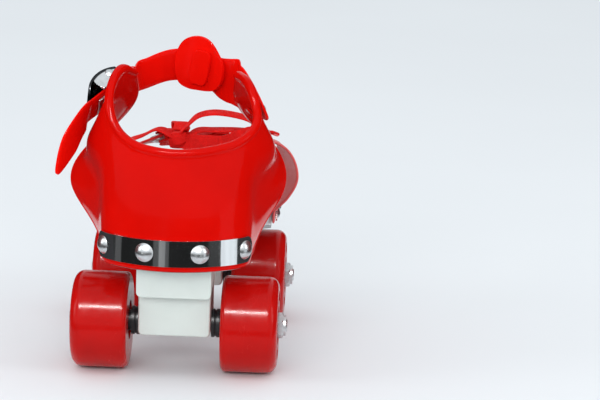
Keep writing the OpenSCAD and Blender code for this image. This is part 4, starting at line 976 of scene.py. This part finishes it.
class SKATE_OT_lacing(bpy.types.Operator):
    """Lace between the eyelets, and the knot"""

    bl_idname = "skate.lacing"
    bl_label = "Lacing"

    def execute(self, context):
        sizes = context.scene.skate_sizes
        half_w, half_t = sizes.lace_width / 2, sizes.lace_thickness / 2
        self.rows(half_w, half_t)
        self.knot(half_w, half_t)
        return {"FINISHED"}

    def rows(self, half_w, half_t):
        bm = bmesh.new()
        for rung in RUNGS:
            steps = LACE_STEPS * (len(rung) - 1)
            spots = band_frames(metres(rung), steps)
            ends = [min(1.0, ROW_START + ROW_GROWTH * min(i, steps - i)) for i in range(steps + 1)]
            sweep(bm, spots, [half_w * k for k in ends], [half_t] * (steps + 1))
        dress("lace_rows", bm, "lace", "toe_frame", "red_lace", "lace_rungs", levels=1)

    def knot(self, half_w, half_t):
        bm = bmesh.new()
        for width, turn in KNOT_TURNS:
            steps = KNOT_STEPS * (len(turn) - 1)
            spots = band_frames(metres(turn, KNOT), steps)
            sweep(bm, spots, [half_w * width] * (steps + 1), [half_t * KNOT_THICKER] * (steps + 1))
        dress("lace_bow_knot", bm, "lace", "toe_frame", "red_lace", "lace_knot", levels=1)


# Left wing: how far its tip is rounded off downwards, and between which heights and depths
WING_DROP, WING_HEIGHTS, WING_DEPTHS = 0.0052, (0.087, 0.104), (0.005, 0.019)


class SKATE_OT_heel_cup(bpy.types.Operator):
    """Moulded vinyl heel cup with its beaded rim"""

    bl_idname = "skate.heel_cup"
    bl_label = "Heel cup"

    def execute(self, context):
        bm = quad_copy("heel_cup")
        for v in bm.verts:
            if v.co.x < 0.0:
                v.co.z -= WING_DROP * eased(v.co.z, *WING_HEIGHTS) * eased(v.co.y, *WING_DEPTHS)
        dress("heel_cup_shell", bm, "vinyl", "heel_frame", "red_vinyl", "heel_cup", levels=2)
        return {"FINISHED"}


# Strap: by how much its edges part or sag, and between which degrees round the ankle
STRAP_LET_DOWN, STRAP_STEP = 0.006, 3.0
STRAP_WIDENS, STRAP_NARROWS = (18.0, 42.0), (66.0, 84.0)
STRAP_LIFT, LIFT_STARTS, LIFT_ENDS = 0.0065, (30.0, 78.0), (84.0, 116.0)
STRAP_SAG, SAG_STARTS, SAG_ENDS = 0.005, (-4.0, 52.0), (54.0, 72.0)
# Strap's fixed end: the X and Z of its middle, its half width, by how much it tapers, and over which -Y
END_MIDDLE, END_HALF, END_TAPER, END_TAPERS = (0.0428, 0.0803), 0.02, 0.2, (-0.027, -0.015)
# Pad, in millimetres: the middle of its bend, and its ways out and right
PAD_MIDDLE = Vector((-3.0, 20.0, 93.5))
PAD_YAW, PAD_ROLL = math.radians(18), math.radians(9)
PAD_OUT = Vector((math.sin(PAD_YAW), math.cos(PAD_YAW), 0.0))
PAD_RIGHT = math.cos(PAD_ROLL) * Vector((PAD_OUT.y, -PAD_OUT.x, 0.0)) - Vector((0, 0, math.sin(PAD_ROLL)))
PAD_BEND, PAD_LIFT, PAD_THICK, PAD_CELLS = 35.7, 2.0, 2.0, 22
KEEPER_RISE, KEEPER_THICK, KEEPER_CELLS = 2.1, 2.4, 14
PAD_EDGE, PAD_EDGE_ANGLE = 0.0006, 50.0
# Radii of the outlines of the pad and of the stretch of strap on it, from the right, anticlockwise
PAD_RADII = [15.5, 14.6, 13.6, 14.6, 16.8, 18.2, 18.6, 17.4, 16.2, 16.2, 16.6, 15, 13.6, 14, 15.6, 16.2, 15.5]
KEEPER_RADII = [6, 6.4, 8, 10.4, 9.8, 10.4, 8, 6.4, 6, 6.4, 8, 10.4, 9.8, 10.4, 8, 6.4, 6]


class SKATE_OT_ankle_strap(bpy.types.Operator):
    """Vinyl ankle strap and the pad that slides on it"""

    bl_idname = "skate.ankle_strap"
    bl_label = "Ankle strap and pad"

    def execute(self, context):
        strap, pad = self.strap(), self.pad()
        dress("ankle_strap_band", strap, "strap", "heel_frame", "red_vinyl", "ankle_strap", levels=1)
        dress("ankle_pad", pad, "strap", "heel_frame", "red_vinyl", "strap_pad", levels=1)
        return {"FINISHED"}

    def strap(self):
        """The frame's strap: broader by the right wing, sagging by the left one, with a tapered end."""
        bm = quad_copy("ankle_strap")
        mid_x, mid_y = PAD_MIDDLE.x * MM, PAD_MIDDLE.y * MM
        turns = {v: math.degrees(math.atan2(v.co.x - mid_x, v.co.y - mid_y)) for v in bm.verts}
        heights = {}
        for v, turn in turns.items():
            step = round(turn / STRAP_STEP)
            low, high = heights.get(step, (v.co.z, v.co.z))
            heights[step] = (min(low, v.co.z), max(high, v.co.z))
        for v, turn in turns.items():
            low, high = heights[round(turn / STRAP_STEP)]
            under = eased(turn, *STRAP_WIDENS) * (1.0 - eased(turn, *STRAP_NARROWS))
            over = eased(turn, *LIFT_STARTS) * (1.0 - eased(turn, *LIFT_ENDS))
            if max(under, over) > 0.0 and high > low:
                level = (v.co.z - low) / (high - low)
                v.co.z += STRAP_LIFT * over * level - STRAP_LET_DOWN * under * (1.0 - level)
            v.co.z -= STRAP_SAG * eased(-turn, *SAG_STARTS) * (1.0 - eased(-turn, *SAG_ENDS))
            if v.co.x > END_MIDDLE[0] - END_HALF:
                keep = 1.0 - END_TAPER * eased(-v.co.y, *END_TAPERS)
                v.co.x = END_MIDDLE[0] + keep * (v.co.x - END_MIDDLE[0])
                v.co.z = END_MIDDLE[1] + keep * (v.co.z - END_MIDDLE[1])
        return bm

    def pad(self):
        """Rounded plate, bent round the ankle, with the strap's raised stretch on its inside."""
        bm = bmesh.new()
        inside = PAD_BEND - PAD_THICK / 2
        self.bent_plate(bm, PAD_RADII, inside, PAD_THICK, PAD_CELLS)
        self.bent_plate(bm, KEEPER_RADII, inside - KEEPER_RISE, KEEPER_THICK, KEEPER_CELLS)
        return bm

    def bent_plate(self, bm, radii, bend, thick, cells):
        grid = bmesh.ops.create_grid(bm, x_segments=cells, y_segments=cells, size=1.0)["verts"]
        up = PAD_RIGHT.cross(PAD_OUT)
        for v in grid:
            a, b = v.co.x, v.co.y
            x, y = a * math.sqrt(1 - b * b / 2), b * math.sqrt(1 - a * a / 2)
            reach = through(radii, (math.atan2(y, x) / math.tau) % 1.0)
            turn = x * reach / bend
            round_ankle = math.sin(turn) * PAD_RIGHT + math.cos(turn) * PAD_OUT
            v.co = (PAD_MIDDLE + bend * round_ankle + (y * reach + PAD_LIFT) * up) * MM
        sheet = list({f for v in grid for f in v.link_faces})
        bmesh.ops.recalc_face_normals(bm, faces=sheet)
        made = bmesh.ops.solidify(bm, geom=sheet, thickness=-thick * MM)["geom"]
        shell = sheet + [g for g in made if isinstance(g, bmesh.types.BMFace)]
        faces = list({f for s in shell for v in s.verts for f in v.link_faces})
        bmesh.ops.recalc_face_normals(bm, faces=faces)
        own = {e for f in shell if f.is_valid for v in f.verts for e in v.link_edges}
        round_edges(bm, [e for e in sharp_edges(bm, PAD_EDGE_ANGLE) if e in own], PAD_EDGE, segments=2)


class SKATE_OT_toe_flaps(bpy.types.Operator):
    """Vinyl flaps of the toe"""

    bl_idname = "skate.toe_flaps"
    bl_label = "Toe flaps"

    def execute(self, context):
        for side in SIDES:
            node = f"flap_{side}"
            dress(f"toe_{node}", quad_copy(node), "flap", "toe_frame", "red_vinyl", node, levels=2)
        return {"FINISHED"}


# Trucks: pocket and lug of the two mouldings, and the roundings of their lower and upper sides
LUG_GAP, SIDE_LIFT, POCKET_HALF, ROOF_THICK = 0.0006, 0.0028, 0.010, 0.003
LUG_RADIUS, SHOULDER = 0.008, -0.0195
BASE_CURVE, BLOCK_CURVE, LUG_CURVE = 0.95 * SIDE_LIFT, 0.0025, 0.98 * LUG_RADIUS


class SKATE_OT_trucks(bpy.types.Operator):
    """Moulded truck bases and axle blocks, and what turns in them"""

    bl_idname = "skate.trucks"
    bl_label = "Trucks"

    def execute(self, context):
        edge = context.scene.skate_sizes.moulded_edge
        for end in ENDS:
            for part, name, make in (
                ("truck_base", "base_moulding", self.base),
                ("axle_block", "block_moulding", self.block),
            ):
                node, bm = f"{end}_{part}", make(end, edge)
                body = NODES[node]["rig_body"]
                dress(f"{end}_{name}", bm, "nylon", body, "white_nylon", node, even=True, smooth_angle=40.0)
            paint(f"{end}_pivot_bush", "rubber")
            paint(f"{end}_sleeves", "sleeve")
            for part in ("truck_screws", "pivot_pin", "axle", "axle_washers", "axle_nut", "spacers"):
                paint(f"{end}_{part}", "zinc")
        return {"FINISHED"}

    def base(self, end, edge):
        """Upper moulding: two end walls, a roof and the pocket for the block's lug."""
        low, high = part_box(f"{end}_truck_base")
        inner_low, inner_high = (c.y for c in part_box(f"{end}_axle_block"))
        y0, y1 = inner_low - LUG_GAP, inner_high + LUG_GAP
        roof = low.z + SIDE_LIFT
        outline = [
            (low.y, high.z), (high.y, high.z), (high.y, low.z), (y1, low.z),
            (y1, roof), (y0, roof), (y0, low.z), (low.y, low.z),
        ]
        bm = extruded_profile(outline, low.x, high.x)
        raise_strip(bm, roof, POCKET_HALF, y0, y1, high.z - ROOF_THICK - roof)
        round_edges(bm, edges_along_y(bm, low.z), BASE_CURVE, segments=6)
        round_edges(bm, sharp_edges(bm), edge, segments=3)
        return bm

    def block(self, end, edge):
        """Lower moulding on the axle, with the lug that turns on the pivot."""
        low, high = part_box(f"{end}_axle_block")
        outline = [(low.y, SHOULDER), (high.y, SHOULDER), (high.y, low.z), (low.y, low.z)]
        bm = extruded_profile(outline, low.x, high.x)
        round_edges(bm, edges_along_y(bm, low.z), BLOCK_CURVE, segments=6)
        raise_strip(bm, SHOULDER, LUG_RADIUS, low.y, high.y, high.z - SHOULDER)
        round_edges(bm, edges_along_y(bm, high.z), LUG_CURVE, segments=10)
        round_edges(bm, sharp_edges(bm), edge, segments=3)
        return bm


class SKATE_OT_wheels(bpy.types.Operator):
    """Hard plastic wheels and their bearings"""

    bl_idname = "skate.wheels"
    bl_label = "Wheels"

    def execute(self, context):
        for end in ENDS:
            for side in SIDES:
                paint(f"{end}_{side}_wheel", "wheel")
                paint(f"{end}_{side}_bearings", "bearing")
                paint(f"{end}_{side}_balls", "bearing")
            paint(f"{end}_inner_rings", "bearing")
        return {"FINISHED"}


# Buckle, in millimetres: its pin, and its ways along the strap, across it and out of the wing
PIN = Vector((-42.7331, 26.5179, 87.0645))
BUCKLE_ALONG = Vector((-0.601281, -0.662695, -0.446426))
BUCKLE_ACROSS = Vector((0.13388, -0.634362, 0.761355))
BUCKLE_OUT = Vector((-0.787742, 0.398021, 0.470152))
# Lever: the middle of its bow, the radius beyond which its top is black, the lean of that top, and the
# radii between which its cheeks turn black
BOW_MIDDLE = PIN + 5.2 * BUCKLE_ALONG - 13.2 * BUCKLE_OUT
TOP_FROM, TOP_LEAN = 15.0, 0.6
BLACK_FROM = (15.9, 16.4)
# Wing rivets: left of this are the heads inside the cup, and the buckle's rivet
RIVET_INSIDE = 0.0395


class SKATE_OT_metalwork(bpy.types.Operator):
    """Plates, heel band, rivets, buckle and length adjuster"""

    bl_idname = "skate.metalwork"
    bl_label = "Metalwork"

    def execute(self, context):
        edge = context.scene.skate_sizes.pressed_edge
        pressed = [
            ("heel_plate", "heel_plate_pressing", "steel", "plate_steel"),
            ("toe_plate", "toe_plate_pressing", "steel", "plate_steel"),
            ("heel_band", "heel_band_strip", "chrome", "chrome"),
            ("flap_strips", "flap_strip_pair", "chrome", "chrome"),
            ("buckle_frame", "buckle_base", "zinc", "zinc_rivet"),
            ("adjuster_wing_nut", "adjuster_wing_nut_body", "zinc", "fastener_steel"),
        ]
        for node, name, look, slot in pressed:
            bm, body = eased_copy(node, edge), NODES[node]["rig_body"]
            dress(name, bm, look, body, slot, node, even=True, smooth_angle=50.0)
        self.lever(edge)
        self.wing_rivets()
        for node in (
            "heel_rivets", "flap_rivets", "eyelets", "buckle_pin", "adjuster_bolt", "adjuster_washer",
        ):
            paint(node, "zinc")
        return {"FINISHED"}

    def lever(self, edge):
        """Lever of the buckle: bright cheeks under a black, bowed top."""
        bm = eased_copy("buckle_lever", edge)
        for f in bm.faces:
            p = f.calc_center_median() / MM - BOW_MIDDLE
            away = math.hypot(p.dot(BUCKLE_ALONG), p.dot(BUCKLE_OUT))
            f.material_index = int(away > TOP_FROM and abs(f.normal.dot(BUCKLE_ACROSS)) < TOP_LEAN)
        name, body, slot, node = "buckle_lever_arm", "buckle_lever", "chrome", "buckle_lever"
        lever = dress(name, bm, "lever", body, slot, node, even=True, smooth_angle=40.0)
        lever.data.materials.append(finish("dark_plate"))

    def wing_rivets(self):
        """Rivets of the strap and the buckle; their low heads inside the cup are red."""
        bm = merged_copy("wing_rivets")
        for f in bm.faces:
            f.material_index = int(f.calc_center_median().x < RIVET_INSIDE)
        name, body, slot, node = "wing_rivet_pair", "heel_frame", "zinc_rivet", "wing_rivets"
        rivets = dress(name, bm, "zinc", body, slot, node, smooth_angle=40.0)
        rivets.data.materials.append(finish("vinyl"))


class SKATE_PT_panel(bpy.types.Panel):
    """Steps that dress the skate, with its sizes and colours"""

    bl_label = "Roller skate"
    bl_idname = "SKATE_PT_panel"
    bl_space_type = "VIEW_3D"
    bl_region_type = "UI"
    bl_category = "Skate"

    def draw(self, context):
        layout = self.layout
        for step in STEPS:
            layout.operator(step.bl_idname)
        for group_name in ("skate_sizes", "skate_colours", "skate_stage"):
            box = layout.box()
            owner = getattr(context.scene, group_name)
            for key in owner.__annotations__:
                box.prop(owner, key)


GROUP_CLASSES = {"skate_colours": SkateColours, "skate_sizes": SkateSizes, "skate_stage": SkateStage}
STEPS = (
    SKATE_OT_stage,
    SKATE_OT_lace_bow,
    SKATE_OT_lacing,
    SKATE_OT_heel_cup,
    SKATE_OT_ankle_strap,
    SKATE_OT_toe_flaps,
    SKATE_OT_trucks,
    SKATE_OT_wheels,
    SKATE_OT_metalwork,
)
CLASSES = (*GROUP_CLASSES.values(), *STEPS, SKATE_PT_panel)


def register():
    for cls in CLASSES:
        bpy.utils.register_class(cls)
    for name, cls in GROUP_CLASSES.items():
        setattr(bpy.types.Scene, name, bpy.props.PointerProperty(type=cls))


def unregister():
    for name in GROUP_CLASSES:
        delattr(bpy.types.Scene, name)
    for cls in reversed(CLASSES):
        bpy.utils.unregister_class(cls)


def main():
    register()
    bpy.ops.skate.stage()
    bpy.ops.skate.lace_bow()
    bpy.ops.skate.lacing()
    bpy.ops.skate.heel_cup()
    bpy.ops.skate.ankle_strap()
    bpy.ops.skate.toe_flaps()
    bpy.ops.skate.trucks()
    bpy.ops.skate.wheels()
    bpy.ops.skate.metalwork()


if __name__ == "__main__":
    main()
